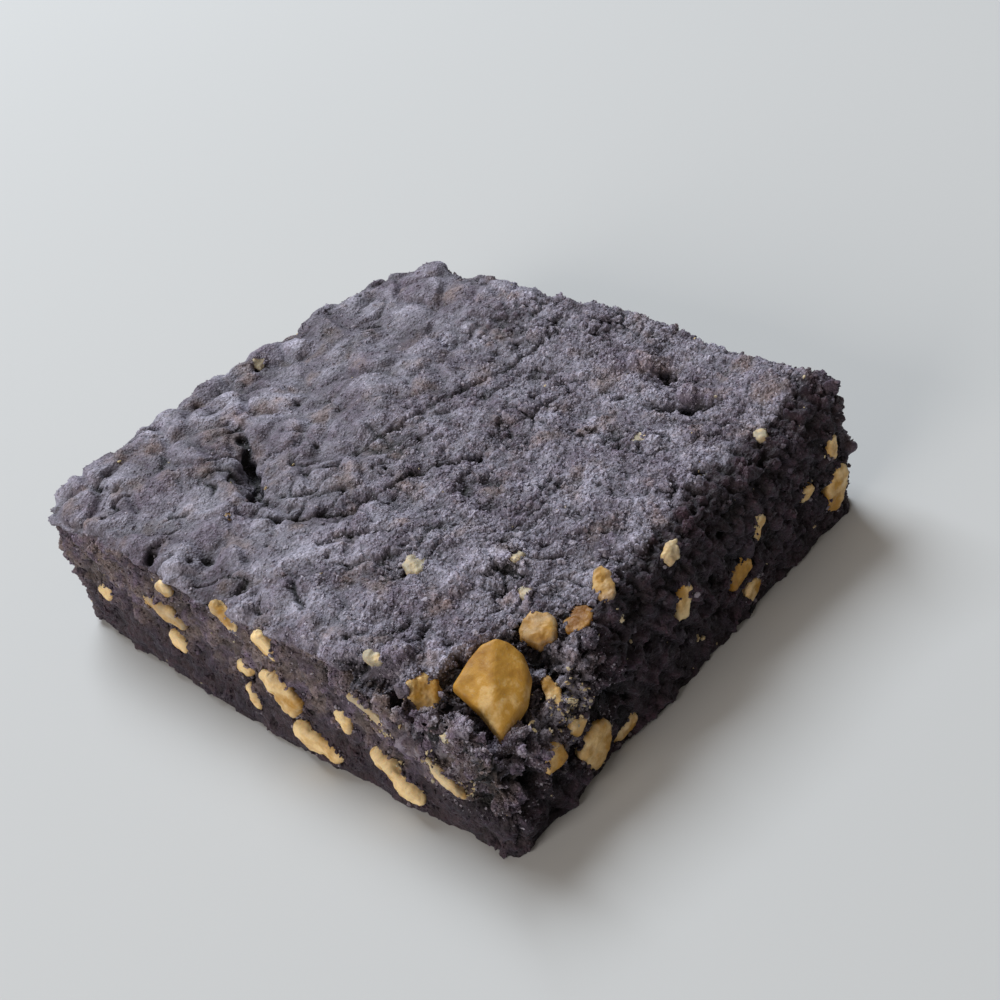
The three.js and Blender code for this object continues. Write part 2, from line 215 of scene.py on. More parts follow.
def move_vertices(mesh: bpy.types.Mesh, places: np.ndarray) -> None:
    """Puts each vertex at its place in millimetres."""
    mesh.vertices.foreach_set("co", (places * MM).astype(np.float32).ravel())
    mesh.update()


def write_shares(mesh: bpy.types.Mesh, name: str, values: np.ndarray) -> None:
    """Stores one number for each vertex, for the materials to read."""
    if name not in mesh.attributes:
        mesh.attributes.new(name, "FLOAT", "POINT")
    mesh.attributes[name].data.foreach_set("value", np.asarray(values, dtype=np.float32))


def read_shares(mesh: bpy.types.Mesh, name: str) -> np.ndarray:
    """Reads the numbers that write_shares stored."""
    values = np.empty(len(mesh.vertices), dtype=np.float32)
    mesh.attributes[name].data.foreach_get("value", values)
    return values


def shade_smooth(mesh: bpy.types.Mesh) -> None:
    """Shades every face smooth."""
    mesh.polygons.foreach_set("use_smooth", np.ones(len(mesh.polygons), dtype=bool))


def mesh_of(shape: bmesh.types.BMesh, name: str) -> bpy.types.Mesh:
    """Turns a shape into a mesh and frees the shape."""
    mesh = bpy.data.meshes.new(name)
    shape.to_mesh(mesh)
    shape.free()
    return mesh


def shown_object(name: str, mesh: bpy.types.Mesh) -> bpy.types.Object:
    """Adds a mesh to the scene as an object at the origin."""
    piece = bpy.data.objects.new(name, mesh)
    bpy.context.scene.collection.objects.link(piece)
    return piece


def apply_modifiers(piece: bpy.types.Object) -> None:
    """Turns a piece's modifiers into its mesh."""
    evaluated = piece.evaluated_get(bpy.context.evaluated_depsgraph_get())
    mesh = bpy.data.meshes.new_from_object(evaluated)
    piece.modifiers.clear()
    piece.data = mesh


def node_shape(node: str) -> bmesh.types.BMesh:
    """Copies a CAD node's mesh and merges its loose triangles."""
    shape = bmesh.new()
    shape.from_mesh(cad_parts[node].data)
    bmesh.ops.remove_doubles(shape, verts=shape.verts, dist=0.001 * MM)
    return shape


def fine_piece(shape: bmesh.types.BMesh, name: str, cell: float, softening: int) -> bpy.types.Object:
    """Turns a shape into an even, fine mesh.

    Args:
        shape: the closed shape, which this frees.
        name: the new piece's name.
        cell: how large its cells are, in millimetres.
        softening: how many times its corners are eased.

    Returns:
        The new object, with its place in its mesh.
    """
    piece = shown_object(name, mesh_of(shape, name))
    voxels = piece.modifiers.new("voxels", "REMESH")
    voxels.mode = "VOXEL"
    voxels.voxel_size = cell * MM
    ease = piece.modifiers.new("ease", "SMOOTH")
    ease.factor = 0.5
    ease.iterations = softening
    apply_modifiers(piece)
    return piece


def surface_tree(mesh: bpy.types.Mesh, places: np.ndarray) -> BVHTree:
    """Makes a search tree of a mesh's faces at the given places of its vertices."""
    faces = [tuple(face.vertices) for face in mesh.polygons]
    return BVHTree.FromPolygons(places.tolist(), faces)


@dataclass
class NodeBoard:
    """A material's nodes, with short ways to add the ones that the finishes use."""

    tree: bpy.types.NodeTree
    place: bpy.types.NodeSocket = field(init=False)

    def __post_init__(self) -> None:
        """Adds the coordinates that every pattern reads."""
        self.place = self.node("ShaderNodeTexCoord").outputs["Object"]

    def node(self, kind: str, **settings: object) -> bpy.types.Node:
        """Adds a node.

        Args:
            kind: its Blender type.
            settings: the properties to set on it.

        Returns:
            The new node.
        """
        made = self.tree.nodes.new(kind)
        for name, value in settings.items():
            setattr(made, name, value)
        return made

    def feed(self, socket: bpy.types.NodeSocket, value: object) -> None:
        """Links another socket to a socket, or sets its value."""
        if isinstance(value, bpy.types.NodeSocket):
            self.tree.links.new(value, socket)
        else:
            socket.default_value = value

    def noise(self, size: float, detail: float = 3, rough: float = 0.55) -> bpy.types.NodeSocket:
        """Adds a noise pattern.

        Args:
            size: how large its patches are, in millimetres.
            detail: how many finer layers it has.
            rough: how strong these are.

        Returns:
            Its value.
        """
        made = self.node("ShaderNodeTexNoise")
        self.feed(made.inputs["Vector"], self.place)
        self.feed(made.inputs["Scale"], 1 / (size * MM))
        self.feed(made.inputs["Detail"], detail)
        self.feed(made.inputs["Roughness"], rough)
        return made.outputs["Fac"]

    def cells(self, size: float) -> bpy.types.NodeSocket:
        """Adds a pattern of round cells and gives the distance from their middles."""
        made = self.node("ShaderNodeTexVoronoi")
        self.feed(made.inputs["Vector"], self.place)
        self.feed(made.inputs["Scale"], 1 / (size * MM))
        return made.outputs["Distance"]

    def share(self, name: str) -> bpy.types.NodeSocket:
        """Reads a number that the mesh stores for each vertex."""
        return self.node("ShaderNodeAttribute", attribute_name=name).outputs["Fac"]

    def spread(
        self, value: bpy.types.NodeSocket, low: float, high: float, start: float = 0, end: float = 1
    ) -> bpy.types.NodeSocket:
        """Maps a value's range onto another, held at its ends.

        Args:
            value: the socket to read.
            low: what gives start.
            high: what gives end.
            start: the lowest result.
            end: the highest result.

        Returns:
            The mapped value.
        """
        made = self.node("ShaderNodeMapRange", clamp=True)
        ends = {"Value": value, "From Min": low, "From Max": high, "To Min": start, "To Max": end}
        for name, number in ends.items():
            self.feed(made.inputs[name], number)
        return made.outputs["Result"]

    def mix(self, share: object, start: object, end: object, kind: str = "MIX") -> bpy.types.NodeSocket:
        """Mixes two colours.

        Args:
            share: how much of the second colour.
            start: the first colour.
            end: the second colour.
            kind: how Blender mixes them.

        Returns:
            The mixed colour.
        """
        made = self.node("ShaderNodeMix", data_type="RGBA", blend_type=kind)
        self.feed(made.inputs["Factor"], share)
        self.feed(made.inputs["A"], start)
        self.feed(made.inputs["B"], end)
        return made.outputs["Result"]

    def bump(
        self, height: bpy.types.NodeSocket, depth: float, under: object = None
    ) -> bpy.types.NodeSocket:
        """Adds fine relief.

        Args:
            height: the pattern that gives the relief.
            depth: how deep it goes, in millimetres.
            under: the relief that it lies on, if any.

        Returns:
            The changed normal.
        """
        made = self.node("ShaderNodeBump")
        self.feed(made.inputs["Height"], height)
        self.feed(made.inputs["Distance"], depth * MM)
        if under is not None:
            self.feed(made.inputs["Normal"], under)
        return made.outputs["Normal"]


def new_material(name: str) -> tuple[bpy.types.Material, NodeBoard, bpy.types.Node]:
    """Makes a material.

    Args:
        name: its name.

    Returns:
        The material, its board of nodes and its shader.
    """
    material = bpy.data.materials.new(name)
    material.use_nodes = True
    shader = next(n for n in material.node_tree.nodes if n.type == "BSDF_PRINCIPLED")
    return material, NodeBoard(material.node_tree), shader


@dataclass(frozen=True)
class CrumbFinish:
    """Purple yam crumb: a dusty grey-violet crust, dry brownish crumb, and near-black damp crumb whose
    colour is partly painted shade.
    """

    crust_low: Colour = (0.132, 0.109, 0.153, 1)
    crust_high: Colour = (0.312, 0.300, 0.380, 1)
    crust_warm: Colour = (0.225, 0.168, 0.166, 1)
    dry_brown: Colour = (0.190, 0.145, 0.141, 1)
    dry_purple: Colour = (0.140, 0.105, 0.155, 1)
    # Damp crumb colours: partly the crumb's own deep purple, partly painted shade of its deep cavities.
    moist_and_shade: Colour = (0.018, 0.009, 0.020, 1)
    moist_red_and_shade: Colour = (0.036, 0.016, 0.028, 1)
    dust: Colour = (0.47, 0.44, 0.53, 1)
    # Painted shade and light: how far low relief darkens and raised relief brightens the colour.
    painted_shade_and_light: tuple[float, float] = (0.03, 1.5)
    roughness: tuple[float, float] = (0.5, 0.85)
    specular: float = 0.45
    sheen: float = 0.12
    sheen_roughness: float = 0.5
    sheen_tint: Colour = (0.74, 0.78, 1.0, 1)
    coarse_bump: float = 0.30
    fine_bump: float = 0.14

    def material(self) -> bpy.types.Material:
        """Builds the material; it reads the shares crust, dry, relief and tone of the mesh; relief gives
        painted shade and light.
        """
        material, board, shader = new_material("yam_crumb")
        cloudy = board.spread(board.noise(6, 5, 0.6), 0.38, 0.62)
        warm = board.spread(board.noise(4.2, 3), 0.54, 0.70, 0, 0.8)
        crust = board.mix(warm, board.mix(cloudy, self.crust_low, self.crust_high), self.crust_warm)
        patches = board.spread(board.noise(2.8, 3), 0.4, 0.6)
        dry = board.mix(patches, self.dry_brown, self.dry_purple)
        # Damp crumb colour, partly painted shade.
        moist_and_shade = board.mix(patches, self.moist_red_and_shade, self.moist_and_shade)
        colour = board.mix(board.share("crust"), board.mix(board.share("dry"), moist_and_shade, dry), crust)
        speckled = board.spread(board.noise(0.45, 2, 0.7), 0.3, 0.7, 0.58, 1.42)
        # Painted shade and light: the colour is multiplied by 0.03 in hollows and creases, up to 1.5 on
        # raised places.
        deep = board.spread(board.share("relief"), *RELIEF_RANGE, *self.painted_shade_and_light)
        colour = board.mix(1.0, colour, self.grey(board, speckled), "MULTIPLY")
        mottled = board.spread(board.noise(1.7, 2), 0.36, 0.64, 0.78, 1.2)
        colour = board.mix(1.0, colour, self.grey(board, deep), "MULTIPLY")
        colour = board.mix(1.0, colour, self.grey(board, mottled), "MULTIPLY")
        dusty = board.spread(board.share("tone"), 0.5, 1.0, 0, 0.85)
        board.feed(shader.inputs["Base Color"], board.mix(dusty, colour, self.dust))
        rough = board.spread(board.noise(0.5), 0.35, 0.65, *self.roughness)
        board.feed(shader.inputs["Roughness"], rough)
        board.feed(shader.inputs["Specular IOR Level"], self.specular)
        board.feed(shader.inputs["Sheen Weight"], self.sheen)
        board.feed(shader.inputs["Sheen Roughness"], self.sheen_roughness)
        board.feed(shader.inputs["Sheen Tint"], self.sheen_tint)
        coarse = board.bump(board.noise(0.75, 4, 0.65), self.coarse_bump)
        fine = board.bump(board.cells(0.34), self.fine_bump, coarse)
        board.feed(shader.inputs["Normal"], fine)
        return material

    @staticmethod
    def grey(board: NodeBoard, value: bpy.types.NodeSocket) -> bpy.types.NodeSocket:
        """Turns a value into a grey to multiply by."""
        made = board.node("ShaderNodeCombineColor")
        for name in ("Red", "Green", "Blue"):
            board.feed(made.inputs[name], value)
        return made.outputs["Color"]


@dataclass(frozen=True)
class CashewFinish:
    """Roasted cashew: golden skin, paler cut faces and toasted orange patches."""

    cream: Colour = (0.94, 0.70, 0.37, 1)
    golden: Colour = (0.50, 0.265, 0.042, 1)
    # The darkest toasting; cashew_crust_06 reaches it as painted shade.
    toasted: Colour = (0.225, 0.090, 0.009, 1)
    floury: Colour = (0.33, 0.315, 0.26, 1)
    roughness: tuple[float, float] = (0.4, 0.66)
    specular: float = 0.38
    glow: float = 0.15
    glow_reach: tuple[float, float, float] = (1.0, 0.55, 0.2)
    coarse_bump: float = 0.06
    fine_bump: float = 0.03

    def material(self) -> bpy.types.Material:
        """Builds the material; it reads the shares toast and rim of the mesh."""
        material, board, shader = new_material("roasted_cashew")
        toast_and_shade = board.share("toast_and_shade")
        cloudy = board.spread(board.noise(1.7, 3), 0.36, 0.64, -0.22, 0.22)
        uneven = board.node("ShaderNodeMath", operation="ADD")
        board.feed(uneven.inputs[0], toast_and_shade)
        board.feed(uneven.inputs[1], cloudy)
        value = uneven.outputs["Value"]
        colour = board.mix(board.spread(value, 0.05, 0.6), self.cream, self.golden)
        colour = board.mix(board.spread(value, 0.65, 1.25), colour, self.toasted)
        colour = board.mix(board.spread(board.share("rim"), 0.1, 1, 0, 0.85), colour, self.floury)
        flecks = board.spread(board.noise(0.35, 2), 0.62, 0.72, 0, 0.22)
        board.feed(shader.inputs["Base Color"], board.mix(flecks, colour, self.floury))
        board.feed(shader.inputs["Roughness"], board.spread(board.noise(0.7), 0.3, 0.7, *self.roughness))
        board.feed(shader.inputs["Subsurface Weight"], self.glow)
        board.feed(shader.inputs["Subsurface Radius"], self.glow_reach)
        board.feed(shader.inputs["Subsurface Scale"], MM)
        board.feed(shader.inputs["Specular IOR Level"], self.specular)
        coarse = board.bump(board.noise(0.7, 3, 0.6), self.coarse_bump)
        board.feed(shader.inputs["Normal"], board.bump(board.noise(0.18, 2), self.fine_bump, coarse))
        return material


@dataclass(frozen=True)
class FloorFinish:
    """A plain, pale, matt floor."""

    colour: Colour = (0.585, 0.60, 0.62, 1)
    roughness: float = 0.9

    def material(self) -> bpy.types.Material:
        """Builds the material."""
        material, board, shader = new_material("pale_floor")
        board.feed(shader.inputs["Base Color"], self.colour)
        board.feed(shader.inputs["Roughness"], self.roughness)
        return material


@dataclass(frozen=True)
class NutLook:
    """How toasted and floury a cashew piece is, how uneven, and how the crumb lies round it.
    For cashew_crust_06 a high toasting paints shade, for cashew_crust_10 a low one paints light.

    The crumb laps over the piece by "buried" and is drawn to it from as far as "closing". The piece
    stands out by "swell" and has its outer side cut flat "cut_depth" below its outermost point.
    """

    toast_and_shade: float = 0.16
    floury: float = 0.1
    buried: float = 0.0
    closing: float = 0.8
    swell: float = 0.2
    lumpy: float = 1.3
    cut_depth: float = 0.36


@dataclass
class CashewPiece:
    """One cashew piece: a fine copy of its CAD node with a cut face, chipped corners and uneven sides."""

    node: str
    look: NutLook
    cell: float = 0.12
    softening: int = 2
    cut_tilt: float = 0.09
    cuts: int = 3
    chip_depth: tuple[float, float] = (0.1, 0.45)
    unevenness: tuple[tuple[float, float], ...] = ((2.6, 0.2), (1.1, 0.12), (0.4, 0.04))
    object: bpy.types.Object = field(init=False)
    places: np.ndarray = field(init=False)
    tree: BVHTree = field(init=False)

    def build(self, seed: int, material: bpy.types.Material) -> None:
        """Models the piece and dresses it.

        Args:
            seed: the number that fixes its unevenness.
            material: its finish.
        """
        draw = np.random.default_rng(seed)
        shape = node_shape(self.node)
        self.chip_corners(shape, draw)
        self.object = fine_piece(shape, f"{self.node}_nut", self.cell, self.softening)
        mesh = self.object.data
        places = read_vectors(mesh.vertices, "co") / MM
        normals = read_vectors(mesh.vertices, "normal")
        noise = Noise(seed)
        uneven = sum(height * noise.soft(places, size) for size, height in self.unevenness)
        bulge = self.look.swell + self.look.lumpy * uneven
        places += normals * bulge[:, None]
        self.places = places
        move_vertices(mesh, places)
        shade_smooth(mesh)
        write_shares(mesh, "toast_and_shade", self.toast_share(places, draw))
        dusting = self.look.floury * (1 + 0.8 * noise.soft(places, 1.4))
        write_shares(mesh, "rim", np.clip(self.edge_share(mesh, normals) + dusting, 0, 1))
        mesh.materials.append(material)
        self.tree = surface_tree(mesh, places)
        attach(self.object, BODY)
        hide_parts(self.node)
        LOG.info("%s: %d faces", self.object.name, len(mesh.polygons))

    def chip_corners(self, shape: bmesh.types.BMesh, draw: np.random.Generator) -> None:
        """Cuts the piece's outer side flat, nearly along the block's face, and then its corners.

        Args:
            shape: the piece's closed shape, which this changes.
            draw: the seeded source of random numbers.
        """
        middle = np.mean([tuple(v.co) for v in shape.verts], axis=0) / MM
        aside = np.array((middle[0] / BLOCK_HALF[0], middle[1] / BLOCK_HALF[1], 0))
        side = np.where(np.abs(aside) == np.abs(aside).max(), np.sign(aside), 0)
        face = np.array((0, 0, 1)) if "crust" in self.node else side
        tilted = face + draw.normal(size=3) * self.cut_tilt
        if self.look.cut_depth > 0:
            self.cut_off(shape, tilted / np.linalg.norm(tilted), self.look.cut_depth)
        for _ in range(self.cuts):
            out = draw.normal(size=3)
            self.cut_off(shape, out / np.linalg.norm(out), draw.uniform(*self.chip_depth))

    @staticmethod
    def cut_off(shape: bmesh.types.BMesh, out: np.ndarray, depth: float) -> None:
        """Cuts a shape with a plane and closes the cut.

        Args:
            shape: the closed shape, which this changes.
            out: the direction of the side that goes.
            depth: how deep the cut lies below the shape's outermost point, in millimetres.
        """
        reach = max(v.co.dot(out) for v in shape.verts) - depth * MM
        everything = shape.verts[:] + shape.edges[:] + shape.faces[:]
        at = out * reach
        bmesh.ops.bisect_plane(shape, geom=everything, plane_co=at, plane_no=out, clear_outer=True)
        bmesh.ops.holes_fill(shape, edges=shape.edges, sides=0)
        bmesh.ops.triangulate(shape, faces=shape.faces)

    def toast_share(self, places: np.ndarray, draw: np.random.Generator) -> np.ndarray:
        """How toasted each place is: more towards one end of the piece.

        Args:
            places: its vertices, in millimetres.
            draw: the seeded source of random numbers.

        Returns:
            The shares, 0 where it is pale.
        """
        towards = draw.normal(size=3)
        towards /= np.linalg.norm(towards)
        along = (places - places.mean(axis=0)) @ towards
        return np.clip(self.look.toast_and_shade + 0.28 * along / np.abs(along).max(), 0, 1.4)

    @staticmethod
    def edge_share(mesh: bpy.types.Mesh, normals: np.ndarray) -> np.ndarray:
        """How much each vertex lies on an edge: its neighbours face away from it."""
        ends = np.empty(2 * len(mesh.edges), dtype=np.int32)
        mesh.edges.foreach_get("vertices", ends)
        a, b = ends.reshape(-1, 2).T
        turn = 1 - np.einsum("ij,ij->i", normals[a], normals[b])
        total = np.zeros(len(normals))
        np.add.at(total, a, turn)
        np.add.at(total, b, turn)
        return 0.35 * smooth_step(0.05, 0.4, total)


@dataclass(frozen=True)
class ClumpLayer:
    """Clumps of one size with creases between them."""

    size: float
    crease_width: float
    crease_depth: float
    lift: float
    level: float = 0.5

    def relief(self, noise: Noise, places: np.ndarray) -> np.ndarray:
        """Makes the relief.

        Args:
            noise: what places the clumps.
            places: the block's vertices.

        Returns:
            Its height at each place: each clump is raised or sunk as a whole.
        """
        _, border, share = noise.clumps(places, self.size)
        edge = smooth_step(0, self.crease_width, border)
        return self.crease_depth * (edge - 1) + self.lift * edge * (share - self.level)


@dataclass(frozen=True)
class Crack:
    """A crack of the crust along a route seen from above."""

    route: Route
    width: float
    depth: float


@dataclass(frozen=True)
class Pit:
    """A small hollow of the crust, or a lump where its depth is negative."""

    at: tuple[float, float]
    radius: float
    depth: float


@dataclass(frozen=True)
class Hollow:
    """A hollow between the clumps of the broken corner and the torn sides, darkened with painted shade.
    """

    at: Place
    radius: float
    depth: float


CRACKS = (
    Crack(((-9.7, 25.4), (-13.0, 21.0), (-14.8, 18.1), (-17.4, 14.7)), 0.5, 1.1),
    Crack(((-20.0, 11.8), (-16.8, 7.1), (-13.1, 2.9), (-7.9, 1.1), (-3.3, 0.4), (2.8, -5.0)), 0.34, 0.8),
    Crack(((-19.2, 1.1), (-16.8, -0.8), (-13.6, -6.0)), 0.3, 0.6),
    Crack(((-8.5, 10.2), (1.8, 7.7), (12.4, 5.1), (27.3, 2.2)), 0.34, 0.6),
    Crack(((-26.4, -1.7), (-28.7, -5.9)), 0.3, 0.7),
    Crack(((20.7, -18.4), (22.3, -21.5), (24.2, -24.4)), 0.6, 1.0),
)
PITS = (
    Pit((12.2, -30.8), 0.8, 1.6),
    Pit((-27.6, 12.6), 0.9, 0.7),
    Pit((-31.1, 18.9), 0.9, 0.8),
    Pit((-13.5, -21.3), 0.5, 0.8),
    Pit((2.7, 1.6), 0.8, 0.6),
    Pit((-5.1, 3.8), 0.6, 0.6),
    Pit((27.3, -15.4), 1.4, 0.9),
    Pit((-27.2, -19.6), 1.7, -1.0),
    Pit((26.2, -12.0), 1.9, -1.1),
    Pit((24.6, -20.4), 1.6, -0.8),
    Pit((-7.0, 28.4), 1.8, -0.8),
    Pit((-24.6, -22.6), 1.4, -0.7),
)
# Hollows pushed into the crumb and darkened with painted shade.
HOLLOWS = (
    Hollow((-24.3, -26.0, 15.8), 1.1, 1.6),
    Hollow((-26.1, -26.3, 14.8), 1.3, 1.9),
    Hollow((-27.6, -29.5, 13.0), 1.1, 1.7),
    Hollow((-28.0, -31.7, 11.8), 1.2, 1.6),
    Hollow((-19.1, -31.9, 14.6), 1.1, 1.4),
    Hollow((-20.9, -32.8, 13.6), 1.1, 1.4),
    Hollow((-15.7, -28.7, 14.0), 1.4, 1.7),
    Hollow((-14.1, -30.2, 14.9), 1.4, 1.9),
    Hollow((-27.3, -25.8, 15.5), 1.3, 1.9),
    Hollow((-15.2, -37.7, 7.5), 2.2, 3.0),
    Hollow((-13.5, -37.7, 4.4), 1.7, 2.0),
    Hollow((-32.5, -36.3, 9.0), 1.9, 2.4),
    Hollow((-30.6, -37.3, 9.2), 1.5, 1.9),
    Hollow((-33.0, -34.1, 6.6), 1.4, 1.6),
    Hollow((-28.2, -36.9, 7.6), 1.7, 1.9),
    Hollow((-21.8, -38.0, 5.5), 1.8, 1.9),
    Hollow((-31.8, -17.2, 16.7), 2.4, 2.8),
    Hollow((-31.4, -18.8, 16.6), 2.3, 2.9),
    Hollow((-31.0, -20.3, 16.6), 2.1, 2.6),
    Hollow((-32.6, -11.9, 14.1), 1.2, 1.5),
    Hollow((-32.9, -26.0, 13.2), 1.2, 1.6),
)
CRUST_OUTLINE: Route = (
    (-34.5, -13.0), (-31.9, -16.6), (-30.3, -22.7), (-26.4, -25.0), (-23.9, -24.9), (-21.4, -26.3),
    (-19.8, -27.8), (-17.5, -30.1), (-15.2, -32.5), (-9.0, -33.4), (0.0, -32.9), (9.0, -31.9),
    (20.0, -32.2), (30.0, -33.0), (36.0, -31.5), (37.0, 42.0), (-36.0, 42.0), (-36.0, -10.0),
)


@dataclass
class RimSpots:
    """Places along the edges of the cashew pieces, where crumbs cling."""

    places: list[Place] = field(default_factory=list)
    vertices: list[int] = field(default_factory=list)


@dataclass
class CrumbBody:
    """The block of crumb with its crust, torn sides and pockets, in an upper and a lower piece.

    The crust's folds run at "fold_turn" degrees from +X. A vertex within "fit_reach" of a cashew piece is
    drawn towards it and kept "fit_gap" away, and crumbs cling where it comes within "rim_reach".
    """

    cell: float = 0.28
    softening: int = 8
    fold_turn: float = -20
    underside_height: float = 0.5
    underside_faces: int = 9000
    seam_height: float = 15.0
    seam_reach: float = 0.01
    cutter_size: float = 120
    cutter_cuts: int = 79
    broken_at: tuple[float, float] = (-23.5, -33.5)
    broken_reach: float = 12.5
    crushed_at: Place = CRUSHED_AT
    plates: ClumpLayer = ClumpLayer(3.1, 0.42, 0.75, 0.45)
    coarse_clumps: ClumpLayer = ClumpLayer(2.3, 0.5, 0.45, 0.6)
    fine_clumps: ClumpLayer = ClumpLayer(1.05, 0.3, 0.22, 0.34)
    broken_clumps: ClumpLayer = ClumpLayer(3.6, 0.7, 1.1, 0.9, 0.35)
    broken_crumbs: ClumpLayer = ClumpLayer(1.6, 0.4, 0.4, 0.35)
    noise: Noise = field(default_factory=lambda: Noise(11))
    other: Noise = field(default_factory=lambda: Noise(23))
    fit_margin: float = 1.4
    fit_reach: float = 1.6
    fit_pull: tuple[float, float] = (1.5, 0.4)
    fit_gap: float = 0.03
    cover_start: float = 0.02
    cover_reach: float = 5
    rim_reach: float = 0.5
    lip_cell: float = 1.5
    lip_border: float = 60
    rims: RimSpots = field(default_factory=RimSpots)
    object: bpy.types.Object = field(init=False)

    def build(self, cashews: list[CashewPiece]) -> None:
        """Models the block as one mesh and fits it to its cashew pieces.

        Args:
            cashews: the finished cashew pieces.
        """
        self.object = fine_piece(node_shape(CRUMB_NODE), "brownie_block", self.cell, self.softening)
        mesh = self.object.data
        places = read_vectors(mesh.vertices, "co") / MM
        normals = read_vectors(mesh.vertices, "normal")
        base = normals[:, 2] < DOWNWARD
        crust = self.crust_share(places, normals)
        broad, fine = self.crust_relief(places)
        torn = self.torn_relief(places)
        hollow, hollow_shade = self.hollow_relief(places)
        relief = (broad + fine) * crust + torn * (1 - crust) + hollow
        relief = np.where(base, -np.abs(0.12 * self.noise.soft(places, 1.7)), relief)
        # Painted shade and light: the relief share is low in hollows and creases and high on raised and
        # grainy crust, where the colour is drawn paler.
        lit = 0.3 * self.grain_share(places)
        painted_shading = ((fine + 0.3 * broad) / 0.45 + lit) * crust + torn / 1.1 * (1 - crust) - 1.5 * hollow_shade
        moved = places + normals * (relief + self.lip(places, normals, crust))[:, None]
        self.fit_to_cashews(moved, normals, cashews)
        moved[:, 2] = np.maximum(moved[:, 2], 0)
        move_vertices(mesh, moved)
        # Upward-facing places of the broken corner take the paler crust colour in patches: partly crust
        # dust, partly painted light on their tops.
        pale = self.broken_share(places) * smooth_step(0.1, 0.8, normals[:, 2])
        pale *= smooth_step(-0.5, 0.3, self.other.soft(places + 61, 2.4))
        write_shares(mesh, "crust", np.maximum(crust, 0.7 * pale))
        write_shares(mesh, "dry", self.dry_share(places))
        write_shares(mesh, "relief", np.clip(painted_shading, *RELIEF_RANGE))
        write_shares(mesh, "tone", np.maximum(self.crushed_share(places), self.dusted_share(places)))

    def finish(self, material: bpy.types.Material) -> None:
        """Splits the block at its seam and dresses both pieces.

        Args:
            material: their finish.
        """
        self.thin_underside()
        shade_smooth(self.object.data)
        for name, upper in (("brownie_crust", True), ("brownie_crumb", False)):
            piece = self.half(name, upper)
            piece.data.materials.clear()
            piece.data.materials.append(material)
            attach(piece, BODY)
            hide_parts(CRUMB_NODE)
            LOG.info("%s: %d faces", name, len(piece.data.polygons))
        bpy.data.objects.remove(self.object)

    def half(self, name: str, upper: bool) -> bpy.types.Object:
        """Copies the part of the block on one side of the seam, closed where it is cut.

        Args:
            name: the copy's name.
            upper: whether the part above the seam is kept.

        Returns:
            The new object.
        """
        middle = self.seam_height + self.cutter_size / 2 * (1 if upper else -1)
        shape = bmesh.new()
        place = Matrix.Translation((0, 0, middle * MM))
        bmesh.ops.create_cube(shape, size=self.cutter_size * MM, matrix=place)
        bmesh.ops.subdivide_edges(shape, edges=shape.edges, cuts=self.cutter_cuts, use_grid_fill=True)
        cutter = shown_object("cutter", mesh_of(shape, "cutter"))
        piece = shown_object(name, self.object.data.copy())
        cut = piece.modifiers.new("cut", "BOOLEAN")
        cut.operation = "INTERSECT"
        cut.solver = "MANIFOLD"
        cut.object = cutter
        apply_modifiers(piece)
        bpy.data.objects.remove(cutter)
        faces = piece.data.polygons
        height = read_vectors(faces, "center")[:, 2] / MM
        level = np.abs(read_vectors(faces, "normal")[:, 2]) > LEVEL
        lid = level & (np.abs(height - self.seam_height) < self.seam_reach)
        faces.foreach_set("use_smooth", ~lid)
        return piece

    def crust_share(self, places: np.ndarray, normals: np.ndarray) -> np.ndarray:
        """How much each place is crust: 1 on the baked top and 0 where crumb is torn."""
        wobble = 0.9 * self.noise.soft(places, 2.2) + 0.5 * self.other.soft(places, 0.9)
        distance = route_distance(places, CRUST_OUTLINE + CRUST_OUTLINE[:1])
        signed = np.where(inside_route(places, CRUST_OUTLINE), distance, -distance)
        upward = smooth_step(0.15, 0.55, normals[:, 2] + 0.12 * wobble)
        return smooth_step(-0.5, 0.7, signed + wobble) * upward * smooth_step(10, 13, places[:, 2])

    def crust_relief(self, places: np.ndarray) -> tuple[np.ndarray, np.ndarray]:
        """Makes the crust's relief.

        Args:
            places: the block's vertices.

        Returns:
            Its broad folds and lumps, and its fine grain, flakes, cracks and pits.
        """
        turn = math.radians(self.fold_turn)
        along = np.array((math.cos(turn), math.sin(turn), 0))
        across = np.array((-math.sin(turn), math.cos(turn), 0))
        drift = self.other.drift(places, 9, (0, 31, 67))
        warped = places + 2.2 * drift
        sheet = np.stack([warped @ across, warped @ along, np.zeros(len(places))], axis=1)
        wrinkled = 0.6 + 0.6 * smooth_step(10, -22, places[:, 0])
        grainy = self.grain_share(places)
        broad = wrinkled * 0.55 * self.noise.soft(sheet, (4.0, 10, 1))
        broad += 0.34 * self.noise.soft(places, 4.8) + 0.22 * self.noise.soft(places, 2.3)
        broad += (1 - 0.75 * grainy) * self.pillows(places + 1.2 * drift)
        line = self.noise.soft(sheet + 53, (2.6, 8, 1))
        where = smooth_step(-0.1, 0.3, self.other.soft(places + 19, 7))
        fine = -0.55 * np.exp(-((line / 0.06) ** 2)) * where * wrinkled
        fine += 0.2 * self.other.soft(sheet, (1.6, 4.5, 1)) * (1 - 0.5 * grainy)
        fine += (0.05 + 0.16 * grainy) * self.other.soft(places, 1.1)
        _, border, share = self.noise.clumps(places, 0.8)
        grains = 0.22 * (smooth_step(0, 0.28, border) - 1) + 0.16 * (share - 0.5)
        fine += grains * (0.15 + 0.85 * grainy) + self.flakes(places + 0.9 * drift, grainy)
        return broad, fine + self.crack_relief(places) + self.pit_relief(places)

    def pillows(self, places: np.ndarray) -> np.ndarray:
        """Soft puffed lumps with creases between them."""
        _, border, share = self.other.clumps(places + 200, 5.6)
        return smooth_step(0, 1.7, border) * (0.35 + 0.5 * share) - 0.35

